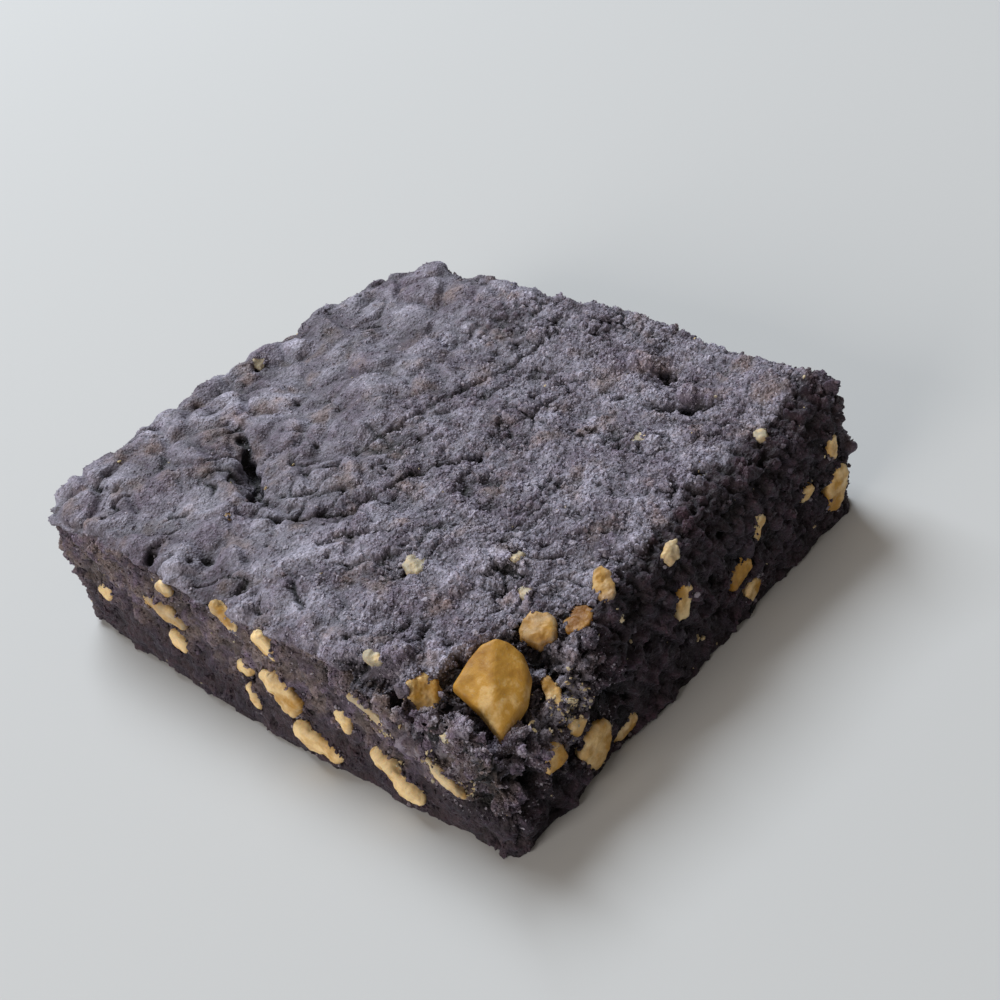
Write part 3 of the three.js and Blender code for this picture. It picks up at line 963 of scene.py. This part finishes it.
    def flakes(self, places: np.ndarray, grainy: np.ndarray) -> np.ndarray:
        """Small plates of crust with narrow gaps between them."""
        bent = places + 0.5 * self.noise.drift(places, 1.3, (3, 29, 71))
        some = smooth_step(-0.15, 0.4, self.noise.soft(places + 90, 6.5)) * (0.15 + 0.85 * grainy)
        return some * self.plates.relief(self.other, bent)

    @staticmethod
    def grain_share(places: np.ndarray) -> np.ndarray:
        """How grainy the crust is: most towards the photographed corner and the right side."""
        return smooth_step(16, -12, 0.8 * places[:, 1] - 0.25 * places[:, 0])

    def crack_relief(self, places: np.ndarray) -> np.ndarray:
        """The named cracks, with wandering sides."""
        wandered = places + 0.55 * self.noise.drift(places, 1.6, (5, 41, 83))
        total = np.zeros(len(places))
        for crack in CRACKS:
            share = np.exp(-((route_distance(wandered, crack.route) / crack.width) ** 2))
            total -= crack.depth * share
        return total

    def pit_relief(self, places: np.ndarray) -> np.ndarray:
        """The named pits and lumps, and small pores strewn over the crust."""
        total = np.zeros(len(places))
        uneven = self.noise.soft(places + 17, 1.1)
        for pit in PITS:
            distance = np.linalg.norm(places[:, :2] - pit.at, axis=1)
            total -= pit.depth * smooth_step(pit.radius, 0.4 * pit.radius, distance + 0.3 * uneven)
        distance, _, share = self.other.clumps(places, 3.8)
        return total - 0.6 * smooth_step(0.6, 0.2, distance) * (share > 0.45)

    def hollow_relief(self, places: np.ndarray) -> tuple[np.ndarray, np.ndarray]:
        """Makes the named hollows, with their painted shade.

        Args:
            places: the block's vertices.

        Returns:
            Their relief, and how much painted shade each place gets, from 0 to 1.
        """
        total = np.zeros(len(places))
        hollow_shade = np.zeros(len(places))
        uneven = 0.45 * self.noise.soft(places + 43, 1.2)
        for hollow in HOLLOWS:
            distance = np.linalg.norm(places - hollow.at, axis=1) + uneven
            share = smooth_step(hollow.radius, 0.55 * hollow.radius, distance)
            total = np.minimum(total, -hollow.depth * share)
            hollow_shade = np.maximum(hollow_shade, share)
        return total, hollow_shade

    def torn_relief(self, places: np.ndarray) -> np.ndarray:
        """Clumps, crevices and pores of the torn crumb."""
        rough = self.side_roughness(places)
        bent = places + 0.45 * self.other.drift(places, 1.5, (9, 37, 59))
        total = 0.55 * self.noise.soft(places, 3.4) + 0.4 * self.other.soft(places, 1.7)
        total += 0.26 * self.noise.soft(places, 0.9)
        fibres = np.stack([places[:, 0] + 0.5 * places[:, 2], places[:, 1], 0.3 * places[:, 2]], axis=1)
        total += 0.5 * self.other.soft(fibres, (1.0, 3, 1)) * smooth_step(-30, -34, places[:, 1])
        total += self.coarse_clumps.relief(self.noise, bent)
        total += self.fine_clumps.relief(self.other, bent)
        distance, _, share = self.noise.clumps(bent + 7, 3.4)
        reach = 0.45 + 0.8 * share
        total -= 1.6 * smooth_step(1, 0.45, distance / reach) * (share > 0.4)
        distance, _, share = self.other.clumps(places + 3, 1.5)
        total -= 0.5 * smooth_step(0.4, 0.15, distance) * (share > 0.5)
        crumbled = self.broken_clumps.relief(self.other, bent + 21)
        crumbled += self.broken_crumbs.relief(self.noise, bent + 47)
        return rough * total + self.broken_share(places) * crumbled

    def crushed_share(self, places: np.ndarray) -> np.ndarray:
        """How pale each place is: a patch beside the largest cashew piece is dusted with crushed nut."""
        distance = np.linalg.norm((places - self.crushed_at) / (1.3, 1, 1), axis=1)
        return smooth_step(3.4, 1.2, distance + 0.9 * self.other.soft(places, 0.8)) * 1.4

    def dusted_share(self, places: np.ndarray) -> np.ndarray:
        """Patches of dusty crumb on the broken corner and on the left side beside it."""
        near = smooth_step(-12, -20, places[:, 1]) * smooth_step(-26, -30, places[:, 0])
        near = np.maximum(near, self.broken_share(places)) * smooth_step(7, 10, places[:, 2])
        return 0.7 * near * smooth_step(-0.35, 0.35, self.other.soft(places + 71, 1.3))

    def broken_share(self, places: np.ndarray) -> np.ndarray:
        """How near each place is to the broken corner."""
        distance = np.linalg.norm(places[:, :2] - self.broken_at, axis=1)
        above_foot = smooth_step(3, 7, places[:, 2])
        return smooth_step(self.broken_reach, 0.6 * self.broken_reach, distance) * above_foot

    @staticmethod
    def side_roughness(places: np.ndarray) -> np.ndarray:
        """How rough each place of a side is: deepest on the right side, smooth along the left foot."""
        left = smooth_step(-28, -31, places[:, 0])
        right = smooth_step(-30, -34, places[:, 1])
        low = smooth_step(7.5, 4.0, places[:, 2])
        rough = 0.95 + 0.2 * right
        return rough * (1 - 0.35 * low * left * (1 - right)) * (1 - 0.2 * low)

    def lip(self, places: np.ndarray, normals: np.ndarray, crust: np.ndarray) -> np.ndarray:
        """The crust's edge: it stands out a little, with an undercut below it."""
        columns = np.floor((places[:, :2] + self.lip_border) / self.lip_cell).astype(int)
        tops = np.zeros(columns.max(axis=0) + 2)
        np.maximum.at(tops, (columns[:, 0], columns[:, 1]), places[:, 2])
        around = [tops[columns[:, 0] + i, columns[:, 1] + j] for i in (-1, 0, 1) for j in (-1, 0, 1)]
        below = np.max(around, axis=0) - places[:, 2]
        side = smooth_step(0.75, 0.35, np.abs(normals[:, 2])) * (1 - crust)
        strength = smooth_step(-0.3, 0.4, self.other.soft(places + 13, 5))
        proud = 0.35 * smooth_step(1.3, 0.6, below)
        under = 0.55 * np.exp(-(((below - 2.2) / 0.7) ** 2))
        return side * strength * (proud - under)

    def dry_share(self, places: np.ndarray) -> np.ndarray:
        """How dry the crumb is: the left side and the corner block are dusty, the right side is damp, and
        its near-black colour is partly painted shade.
        """
        left = smooth_step(-27.5, -31.5, places[:, 0])
        left *= 0.08 + 0.92 * smooth_step(4.5, 9.5, places[:, 2])
        back = smooth_step(30, 34, np.maximum(places[:, 0], places[:, 1] - 3))
        block = self.broken_share(places) * smooth_step(-19, -25, places[:, 0])
        block *= smooth_step(4, 9, places[:, 2])
        return np.clip(left + 0.5 * back + 0.8 * block, 0, 1)

    def fit_to_cashews(self, places: np.ndarray, normals: np.ndarray, cashews: list[CashewPiece]) -> None:
        """Raises the crumb round each cashew piece, draws it up to the piece and keeps it out of it.

        Args:
            places: the block's vertices, which this moves.
            normals: the block's outward directions before its relief.
            cashews: the finished cashew pieces.
        """
        rise = 0.2 + 0.3 * self.noise.soft(places + 77, 1.7)
        overlap = np.maximum(0.22 + 0.6 * self.other.soft(places + 31, 1.2), 0)
        for cashew in cashews:
            low = cashew.places.min(axis=0) - self.fit_margin
            high = cashew.places.max(axis=0) + self.fit_margin
            inside = np.flatnonzero(np.all((places > low) & (places < high), axis=1))
            outward = Vector(normals[inside].mean(axis=0)).normalized()
            for index in inside:
                place = Vector(places[index])
                spot, _, _, distance = cashew.tree.find_nearest(place, self.fit_reach)
                if spot is None:
                    continue
                start = place + outward * self.cover_start
                above, _, _, _ = cashew.tree.ray_cast(start, outward, self.cover_reach)
                if above is None and cashew.look.closing > 0.1:
                    share = float(smooth_step(*self.fit_pull, distance))
                    aside = spot - place
                    aside = (aside - outward * aside.dot(outward)).normalized()
                    place += outward * ((rise[index] + cashew.look.buried) * share)
                    place += aside * ((overlap[index] + cashew.look.buried) * share)
                    if cashew.tree.find_nearest(place)[3] < self.rim_reach:
                        self.rims.places.append(tuple(place))
                        self.rims.vertices.append(int(index))
                places[index] = self.kept_out(place, cashew)

    def kept_out(self, place: Vector, cashew: CashewPiece) -> Vector:
        """Draws a place near a cashew piece up to it, or out of it where it lies inside.

        Args:
            place: the place, in millimetres.
            cashew: the finished cashew piece.

        Returns:
            The new place, at least the gap of the fit away from the piece.
        """
        spot, out, _, distance = cashew.tree.find_nearest(place)
        offset = place - spot
        if offset.dot(out) < 0:
            distance = -distance
        if distance < self.fit_gap:
            return spot + out * self.fit_gap
        if distance < cashew.look.closing:
            share = float(smooth_step(0.45, 1, distance / cashew.look.closing))
            return spot + offset * ((self.fit_gap + (distance - self.fit_gap) * share) / distance)
        return place

    def thin_underside(self) -> None:
        """Gives the underside fewer, larger faces."""
        mesh = self.object.data
        base = read_vectors(mesh.vertices, "normal")[:, 2] < DOWNWARD
        base &= read_vectors(mesh.vertices, "co")[:, 2] < self.underside_height * MM
        faces = len(mesh.polygons)
        group = self.object.vertex_groups.new(name="underside")
        group.add(np.flatnonzero(base).tolist(), 1.0, "REPLACE")
        thin = self.object.modifiers.new("thin", "DECIMATE")
        thin.vertex_group = group.name
        thin.ratio = 1 - (base.sum() * 2 - self.underside_faces) / (2 * faces)
        apply_modifiers(self.object)
        self.object.vertex_groups.clear()


@dataclass
class Ground:
    """The block's surface as triangles to strew things on."""

    corners: np.ndarray
    normals: np.ndarray
    areas: np.ndarray
    shares: dict[str, np.ndarray]

    @classmethod
    def of(cls, piece: bpy.types.Object) -> "Ground":
        """Reads the surface of a finished piece."""
        mesh = piece.data
        mesh.calc_loop_triangles()
        index = np.empty(3 * len(mesh.loop_triangles), dtype=np.int32)
        mesh.loop_triangles.foreach_get("vertices", index)
        index = index.reshape(-1, 3)
        corners = (read_vectors(mesh.vertices, "co") / MM)[index]
        crossed = np.cross(corners[:, 1] - corners[:, 0], corners[:, 2] - corners[:, 0])
        areas = np.linalg.norm(crossed, axis=1) / 2
        normals = read_vectors(mesh.vertices, "normal")[index].mean(axis=1)
        normals /= np.linalg.norm(normals, axis=1, keepdims=True)
        shares = {}
        for name in GROUND_SHARES:
            shares[name] = read_shares(mesh, name)[index].mean(axis=1)
        return cls(corners, normals, areas, shares)

    def middles(self) -> np.ndarray:
        """The middle of each triangle."""
        return self.corners.mean(axis=1)

    def strew(
        self, count: int, wanted: np.ndarray, draw: np.random.Generator
    ) -> tuple[np.ndarray, np.ndarray]:
        """Draws places on the surface.

        Args:
            count: how many.
            wanted: how densely each triangle is strewn.
            draw: the seeded source of random numbers.

        Returns:
            The places, and the triangle each one lies on.
        """
        weights = self.areas * wanted
        chosen = draw.choice(len(weights), size=count, p=weights / weights.sum())
        u, v = draw.random((2, count))
        folded = u + v > 1
        u, v = np.where(folded, 1 - u, u), np.where(folded, 1 - v, v)
        a, b, c = (self.corners[chosen, k] for k in range(3))
        return a + u[:, None] * (b - a) + v[:, None] * (c - a), chosen


class GrainShape(Enum):
    """The shape that a grain starts from."""

    EIGHT_FACES = 8
    TWENTY_FACES = 20
    EIGHTY_FACES = 80

    def template(self) -> tuple[np.ndarray, np.ndarray]:
        """Makes the shape, with a radius of 1.

        Returns:
            Its vertices and its triangles.
        """
        shape = bmesh.new()
        if self is GrainShape.EIGHT_FACES:
            bmesh.ops.create_uvsphere(shape, u_segments=4, v_segments=2, radius=1)
        else:
            steps = 1 if self is GrainShape.TWENTY_FACES else 2
            bmesh.ops.create_icosphere(shape, subdivisions=steps, radius=1)
        bmesh.ops.triangulate(shape, faces=shape.faces)
        shape.verts.index_update()
        points = np.array([tuple(v.co) for v in shape.verts])
        faces = np.array([[v.index for v in f.verts] for f in shape.faces])
        shape.free()
        return points, faces


def random_turns(count: int, draw: np.random.Generator) -> np.ndarray:
    """Draws turns in space.

    Args:
        count: how many.
        draw: the seeded source of random numbers.

    Returns:
        One 3 by 3 rotation matrix for each.
    """
    parts = draw.normal(size=(4, count))
    w, x, y, z = parts / np.linalg.norm(parts, axis=0)
    rows = (
        (1 - 2 * (y * y + z * z), 2 * (x * y - z * w), 2 * (x * z + y * w)),
        (2 * (x * y + z * w), 1 - 2 * (x * x + z * z), 2 * (y * z - x * w)),
        (2 * (x * z - y * w), 2 * (y * z + x * w), 1 - 2 * (x * x + y * y)),
    )
    return np.array(rows).transpose(2, 0, 1)


def joined_grains(
    name: str,
    shape: GrainShape,
    middles: np.ndarray,
    halves: np.ndarray,
    uneven: float,
    draw: np.random.Generator,
) -> tuple[bpy.types.Object, int]:
    """Makes many uneven grains as one mesh.

    Args:
        name: the piece's name.
        shape: what each grain starts from.
        middles: the grains' middles, in millimetres.
        halves: each grain's three half sizes.
        uneven: how far its corners are moved, as a share of its size.
        draw: the seeded source of random numbers.

    Returns:
        The piece, and how many vertices each grain has.
    """
    points, faces = shape.template()
    count = len(middles)
    jitter = 1 + uneven * draw.uniform(-1, 1, (count, len(points), 1))
    local = points[None] * jitter * halves[:, None, :]
    places = np.einsum("nij,npj->npi", random_turns(count, draw), local) + middles[:, None, :]
    places[..., 2] = np.maximum(places[..., 2], LOWEST_CRUMB)
    index = faces[None] + (np.arange(count) * len(points))[:, None, None]
    mesh = bpy.data.meshes.new(name)
    mesh.from_pydata((places * MM).reshape(-1, 3), [], index.reshape(-1, 3))
    mesh.validate()
    return shown_object(name, mesh), len(points)


@dataclass
class Crumbs:
    """Crumbs or grains of one kind, strewn over the block and joined in one mesh.

    A crumb lies with the share "sunk" of its size below the surface. Its own dusting is drawn from
    "tones", and its share of relief is higher than its ground's by "lighter", which paints light on it
    and draws it paler.
    """

    name: str
    shape: GrainShape
    sizes: tuple[float, float]
    sunk: float
    uneven: float
    tones: tuple[float, float]
    stretch: tuple[float, float] = (0.5, 1.25)
    painted_light_lift: float = 0.35

    def strew(
        self, count: int, seed: int, ground: Ground, wanted: np.ndarray, material: bpy.types.Material
    ) -> None:
        """Strews the crumbs over the block and dresses them.

        Args:
            count: how many.
            seed: the number that fixes their places and shapes.
            ground: the surface they lie on.
            wanted: how densely each of its triangles is strewn.
            material: their finish.
        """
        draw = np.random.default_rng(seed)
        middles, chosen = ground.strew(count, wanted, draw)
        shares = {name: ground.shares[name][chosen] for name in GROUND_SHARES}
        self.place(middles, ground.normals[chosen], shares, material, draw)

    def place(
        self,
        middles: np.ndarray,
        outwards: np.ndarray,
        shares: dict[str, np.ndarray],
        material: bpy.types.Material,
        draw: np.random.Generator,
    ) -> None:
        """Makes one crumb at each place.

        Args:
            middles: where each crumb touches the surface.
            outwards: the surface's outward direction there.
            shares: the surface's shares crust, dry and relief there.
            material: the crumbs' finish.
            draw: the seeded source of random numbers.
        """
        count = len(middles)
        smallest, largest = self.sizes
        size = smallest + (largest - smallest) * draw.random(count) ** 2
        halves = size[:, None] / 2 * draw.uniform(*self.stretch, (count, 3))
        middles = middles + outwards * (size * (0.5 - self.sunk))[:, None]
        piece, corners = joined_grains(self.name, self.shape, middles, halves, self.uneven, draw)
        mesh = piece.data
        for share in ("crust", "dry"):
            write_shares(mesh, share, np.repeat(shares[share], corners))
        # Painted light: the crumb's relief share is raised, which draws it paler.
        relief = np.clip(shares["relief"] + self.painted_light_lift, -1, 1)
        write_shares(mesh, "relief", np.repeat(relief, corners))
        low, high = self.tones
        write_shares(mesh, "tone", np.repeat(low + (high - low) * draw.random(count) ** 1.6, corners))
        mesh.materials.append(material)
        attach(piece, BODY)
        LOG.info("%s: %d crumbs", self.name, count)


@dataclass
class RimCrumbs:
    """Crumbs that cling to the edges of the cashew pieces."""

    count: int = 5200
    scatter: float = 0.13
    seed: int = 45

    def build(self, body: CrumbBody, material: bpy.types.Material) -> None:
        """Strews the crumbs along the edges.

        Args:
            body: the block, still as one mesh.
            material: the crumbs' finish.
        """
        draw = np.random.default_rng(self.seed)
        chosen = draw.choice(len(body.rims.places), size=self.count)
        vertices = np.array(body.rims.vertices)[chosen]
        middles = np.array(body.rims.places)[chosen] + draw.normal(size=(self.count, 3)) * self.scatter
        mesh = body.object.data
        shares = {name: read_shares(mesh, name)[vertices] for name in GROUND_SHARES}
        outwards = read_vectors(mesh.vertices, "normal")[vertices]
        twenty = GrainShape.TWENTY_FACES
        kind = Crumbs("rim_crumbs", twenty, (0.14, 0.75), sunk=0.5, uneven=0.32, tones=(0.0, 0.85))
        kind.place(middles, outwards, shares, material, draw)


@dataclass(frozen=True)
class NutCluster:
    """Small pale bits of cashew that lie together."""

    at: Place
    spread: float
    count: int
    size: float


NUT_CLUSTERS = (
    NutCluster((-32.5, -30.6, 14.8), 0.3, 5, 1.7),
    NutCluster(CRUSHED_AT, 1.3, 260, 0.6),
    NutCluster((-33.0, -18.5, 12.1), 0.7, 12, 0.7),
    NutCluster((-32.8, -20.7, 10.7), 0.7, 14, 0.7),
    NutCluster((-32.7, -29.4, 8.4), 0.9, 26, 0.7),
    NutCluster((-33.4, -28.0, 10.8), 0.6, 12, 0.7),
    NutCluster((-33.0, -32.8, 8.5), 0.6, 14, 0.8),
    NutCluster((-33.5, -21.7, 6.3), 0.6, 10, 0.8),
    NutCluster((-25.3, -35.4, 12.8), 0.4, 4, 0.8),
    NutCluster((-9.3, -36.5, 15.4), 0.5, 5, 0.9),
    NutCluster((0.7, -37.8, 3.9), 0.5, 4, 0.9),
    NutCluster((-0.8, -21.1, 17.5), 0.3, 2, 0.6),
    NutCluster((-5.3, -16.4, 17.5), 0.3, 2, 0.6),
    NutCluster((-6.4, -17.9, 17.5), 0.3, 2, 0.5),
    NutCluster((13.6, -30.2, 17.0), 0.25, 3, 0.7),
)


@dataclass
class NutBits:
    """Small bits of cashew in the crust and the torn sides, joined in one mesh."""

    name: str = "cashew_bits"
    strewn: int = 150
    smallest: float = 0.25
    further: float = 0.55
    seed: int = 71

    def build(self, ground: Ground, tree: BVHTree, material: bpy.types.Material) -> None:
        """Places the bits and dresses them.

        Args:
            ground: the surface they lie on.
            tree: that surface's search tree.
            material: their finish.
        """
        draw = np.random.default_rng(self.seed)
        wanted = 1.2 - ground.shares["crust"] * 0.9 - (ground.normals[:, 2] < OVERHANGING)
        middles, _ = ground.strew(self.strewn, np.clip(wanted, 0, 2), draw)
        sizes = self.smallest + self.further * draw.random(self.strewn) ** 2
        for cluster in NUT_CLUSTERS:
            offsets = draw.normal(size=(cluster.count, 3)) * cluster.spread
            found = [tree.find_nearest(np.add(cluster.at, offset).tolist())[0] for offset in offsets]
            middles = np.vstack([middles, np.array(found)])
            sizes = np.append(sizes, cluster.size * draw.uniform(0.35, 1, cluster.count))
        halves = sizes[:, None] / 2 * draw.uniform((0.8, 0.5, 0.3), (1.3, 0.9, 0.6), (len(sizes), 3))
        piece, corners = joined_grains(self.name, GrainShape.TWENTY_FACES, middles, halves, 0.34, draw)
        write_shares(piece.data, "toast_and_shade", np.repeat(draw.uniform(0, 0.35, len(sizes)), corners))
        write_shares(piece.data, "rim", np.repeat(draw.uniform(0.4, 1.1, len(sizes)), corners))
        piece.data.materials.append(material)
        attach(piece, BODY)
        LOG.info("%s: %d bits", self.name, len(sizes))


SIDE_LOOKS = {
    "left": NutLook(swell=0.32, lumpy=1.6),
    "right": NutLook(toast_and_shade=0.3),
    "crust": NutLook(toast_and_shade=0.1, floury=1.0, buried=0.24, swell=0.0, lumpy=1.8, cut_depth=0.5),
}
NUT_LOOKS = {
    CORNER_NODE: NutLook(toast_and_shade=0.68, floury=0.0, closing=0.05, swell=0.1, lumpy=1.0, cut_depth=0.0),
    "cashew_crust_01": NutLook(toast_and_shade=0.1, floury=1.0, buried=0.3, swell=0.05, lumpy=1.8, cut_depth=0.5),
    "cashew_crust_05": NutLook(toast_and_shade=0.85, floury=0.3, buried=0.32, swell=0.12, lumpy=1.7, cut_depth=0.2),
    # Painted shade: this piece's high toasting darkens it as if it lay in shade.
    "cashew_crust_06": NutLook(toast_and_shade=1.1, floury=0.0, buried=0.2, swell=0.1, lumpy=1.5),
    "cashew_crust_07": NutLook(toast_and_shade=0.75, floury=0.35, buried=0.4, swell=0.05, lumpy=1.6, cut_depth=0.3),
    "cashew_crust_08": NutLook(toast_and_shade=0.4, floury=0.5, buried=0.3, swell=0.0, lumpy=1.8),
    "cashew_crust_09": NutLook(toast_and_shade=0.6, floury=0.2, buried=0.25, swell=0.0, lumpy=1.8, cut_depth=0.3),
    # Painted light: this piece's low toasting draws it paler to make up for the shade it lies in.
    "cashew_crust_10": NutLook(toast_and_shade=0.25, floury=0.05, buried=0.5, closing=0.7, swell=0.3, lumpy=2.2),
    "cashew_crust_12": NutLook(toast_and_shade=0.2, floury=0.8, buried=0.1, swell=0.05, cut_depth=0.3),
    "cashew_crust_14": NutLook(toast_and_shade=0.5, floury=0.3, buried=0.2, swell=0.0, lumpy=1.8, cut_depth=0.4),
    "cashew_left_01": NutLook(toast_and_shade=0.3, floury=0.35, lumpy=1.6),
    "cashew_left_02": NutLook(toast_and_shade=0.45, floury=0.5, lumpy=1.6),
    "cashew_left_04": NutLook(toast_and_shade=0.35, floury=0.3, lumpy=1.6),
    "cashew_left_05": NutLook(toast_and_shade=0.25, floury=0.1, swell=0.26, lumpy=1.6),
    "cashew_left_08": NutLook(toast_and_shade=0.3, floury=0.15, swell=0.4, lumpy=1.8),
    "cashew_left_09": NutLook(toast_and_shade=0.0, floury=0.0, swell=0.42, lumpy=1.6),
    "cashew_left_11": NutLook(toast_and_shade=0.3, floury=0.7, swell=0.1, lumpy=1.6),
    "cashew_left_12": NutLook(toast_and_shade=0.0, floury=0.0, swell=0.42, lumpy=2.0),
    "cashew_left_13": NutLook(toast_and_shade=0.1, floury=0.45, buried=0.14, swell=0.06, lumpy=1.8),
    "cashew_right_01": NutLook(toast_and_shade=0.7, floury=0.1, buried=0.25),
    "cashew_right_02": NutLook(toast_and_shade=0.4, swell=0.3),
    "cashew_right_06": NutLook(toast_and_shade=0.6),
}
CORNER_SHAPE = {
    "cuts": 0,
    "cell": 0.16,
    "softening": 30,
    "unevenness": ((4.2, 0.16), (1.2, 0.03), (0.45, 0.012)),
}


@dataclass
class Brownie:
    """The whole part: its cashew pieces, its block and its crumbs."""

    crumb_finish: CrumbFinish = field(default_factory=CrumbFinish)
    cashew_finish: CashewFinish = field(default_factory=CashewFinish)
    looks_seed: int = 100
    first_seed: int = 101
    patches: Noise = field(default_factory=lambda: Noise(37))

    def build(self) -> None:
        """Builds the cashew pieces first, because the block is fitted to them."""
        crumb = self.crumb_finish.material()
        nut = self.cashew_finish.material()
        cashews = self.cashews(nut)
        body = CrumbBody()
        body.build(cashews)
        ground = Ground.of(body.object)
        tree = surface_tree(body.object.data, read_vectors(body.object.data.vertices, "co") / MM)
        self.strew_crumbs(body, ground, crumb)
        RimCrumbs().build(body, crumb)
        NutBits().build(ground, tree, nut)
        body.finish(crumb)

    def cashews(self, material: bpy.types.Material) -> list[CashewPiece]:
        """Builds every cashew piece.

        Args:
            material: their finish.

        Returns:
            The finished pieces.
        """
        pieces = []
        draw = np.random.default_rng(self.looks_seed)
        names = sorted(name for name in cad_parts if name.startswith("cashew_"))
        for seed, name in enumerate(names, start=self.first_seed):
            varied = NutLook(toast_and_shade=draw.uniform(-0.1, 0.6), floury=draw.uniform(0, 0.5), lumpy=1.6)
            look = NUT_LOOKS.get(name) or SIDE_LOOKS.get(name.split("_")[1], varied)
            piece = CashewPiece(name, look, **(CORNER_SHAPE if name == CORNER_NODE else {}))
            piece.build(seed, material)
            pieces.append(piece)
        return pieces

    def strew_crumbs(self, body: CrumbBody, ground: Ground, material: bpy.types.Material) -> None:
        """Strews every kind of crumb.

        Args:
            body: the block.
            ground: the block's surface.
            material: their finish.
        """
        middles = ground.middles()
        crust = ground.shares["crust"]
        above = ground.normals[:, 2] > OVERHANGING
        grainy = 0.1 + 0.9 * body.grain_share(middles)
        patchy = smooth_step(-0.4, 0.5, self.patches.soft(middles, 3.0))
        torn = (1 - crust) * above * smooth_step(0.2, 1.5, middles[:, 2])
        broken = body.broken_share(middles) * (1 - crust)
        upper = smooth_step(10, 14, middles[:, 2]) * ground.shares["dry"]
        open_gaps = smooth_step(-1, -0.3, ground.shares["relief"])
        eight, twenty, eighty = GrainShape
        fine = Crumbs("crust_grains", eight, (0.2, 0.55), sunk=0.5, uneven=0.3, tones=(0.3, 1.0))
        fine.strew(24500, 41, ground, crust * grainy, material)
        coarse = Crumbs("crust_granules", twenty, (0.35, 0.9), sunk=0.62, uneven=0.28, tones=(0.2, 0.9))
        coarse.strew(8500, 42, ground, crust * grainy * patchy, material)
        corner = Crumbs("corner_grains", eight, (0.14, 0.5), sunk=0.45, uneven=0.3, tones=(0.15, 1.0))
        corner.strew(14000, 46, ground, (broken + 0.25 * torn * upper) * open_gaps, material)
        sides = Crumbs("torn_grains", twenty, (0.15, 0.75), sunk=0.55, uneven=0.34, tones=(0.0, 0.6))
        sides.strew(9900, 43, ground, torn * (0.2 + 0.8 * patchy ** 2), material)
        clumps = Crumbs("torn_clumps", eighty, (0.7, 1.5), sunk=0.84, uneven=0.26, tones=(0.0, 0.3))
        clumps.strew(360, 44, ground, torn * patchy ** 2, material)


@dataclass(frozen=True)
class PhotoCamera:
    """The camera at the photograph's viewing angle."""

    azimuth: float = 319.4
    elevation: float = 38.74
    roll: float = -13.6
    distance: float = 211.1
    aim: Place = (0, 0, 8.65)
    aside: float = -6.4
    below: float = -1.13
    lens: float = 60.28
    sensor: float = 36
    nearest: float = 5

    def build(self) -> None:
        """Makes the camera and gives it to the scene."""
        a, e, r = (math.radians(v) for v in (self.azimuth, self.elevation, self.roll))
        back = Vector((math.sin(a) * math.cos(e), -math.cos(a) * math.cos(e), math.sin(e)))
        level = Vector((math.cos(a), math.sin(a), 0))
        steep = back.cross(level)
        right = level * math.cos(r) + steep * math.sin(r)
        up = back.cross(right)
        place = Vector(self.aim) + back * self.distance - right * self.aside - up * self.below
        data = bpy.data.cameras.new("photo_camera")
        data.sensor_width = self.sensor
        data.lens = self.lens
        data.dof.use_dof = False
        data.clip_start = self.nearest * MM
        camera = bpy.data.objects.new("photo_camera", data)
        turned = Matrix((right, up, back)).transposed().to_4x4()
        camera.matrix_world = Matrix.Translation(place * MM) @ turned
        bpy.context.scene.collection.objects.link(camera)
        bpy.context.scene.camera = camera


@dataclass(frozen=True)
class SoftLight:
    """One large studio light that faces the part."""

    name: str
    direction: Place
    distance: float
    size: float
    power: float
    colour: tuple[float, float, float]

    def build(self) -> None:
        """Makes the light."""
        data = bpy.data.lights.new(self.name, "AREA")
        data.size = self.size * MM
        data.energy = self.power
        data.color = self.colour
        light = bpy.data.objects.new(self.name, data)
        away = Vector(self.direction).normalized()
        light.location = away * self.distance * MM
        light.rotation_euler = away.to_track_quat("Z", "Y").to_euler()
        bpy.context.scene.collection.objects.link(light)


@dataclass(frozen=True)
class Studio:
    """The pale floor, the soft lights and the sky round them."""

    floor_half: float = 1500
    sky: Colour = (1.0, 0.88, 0.75, 1)
    sky_strength: float = 0.16
    lights: tuple[SoftLight, ...] = (
        SoftLight("key", (0.2, 0.64, 0.76), 1500, 780, 23.5, (0.92, 0.97, 1.0)),
        SoftLight("side_fill", (-0.95, 0.0, 0.42), 1200, 560, 7.0, (1.0, 0.93, 0.85)),
    )

    def build(self) -> None:
        """Makes the floor, the lights and the sky."""
        shape = bmesh.new()
        bmesh.ops.create_grid(shape, x_segments=1, y_segments=1, size=self.floor_half * MM)
        mesh = mesh_of(shape, "floor")
        mesh.materials.append(FloorFinish().material())
        shown_object("floor", mesh)
        for light in self.lights:
            light.build()
        world = bpy.data.worlds.new("sky")
        world.use_nodes = True
        background = world.node_tree.nodes["Background"]
        background.inputs["Color"].default_value = self.sky
        background.inputs["Strength"].default_value = self.sky_strength
        bpy.context.scene.world = world
        bpy.context.scene.view_settings.view_transform = "Standard"


def main() -> None:
    """Builds the part, its studio and its camera, in this order."""
    logging.basicConfig(level=logging.INFO, format="%(name)s: %(message)s")
    Brownie().build()
    Studio().build()
    PhotoCamera().build()


if __name__ == "__main__":
    main()
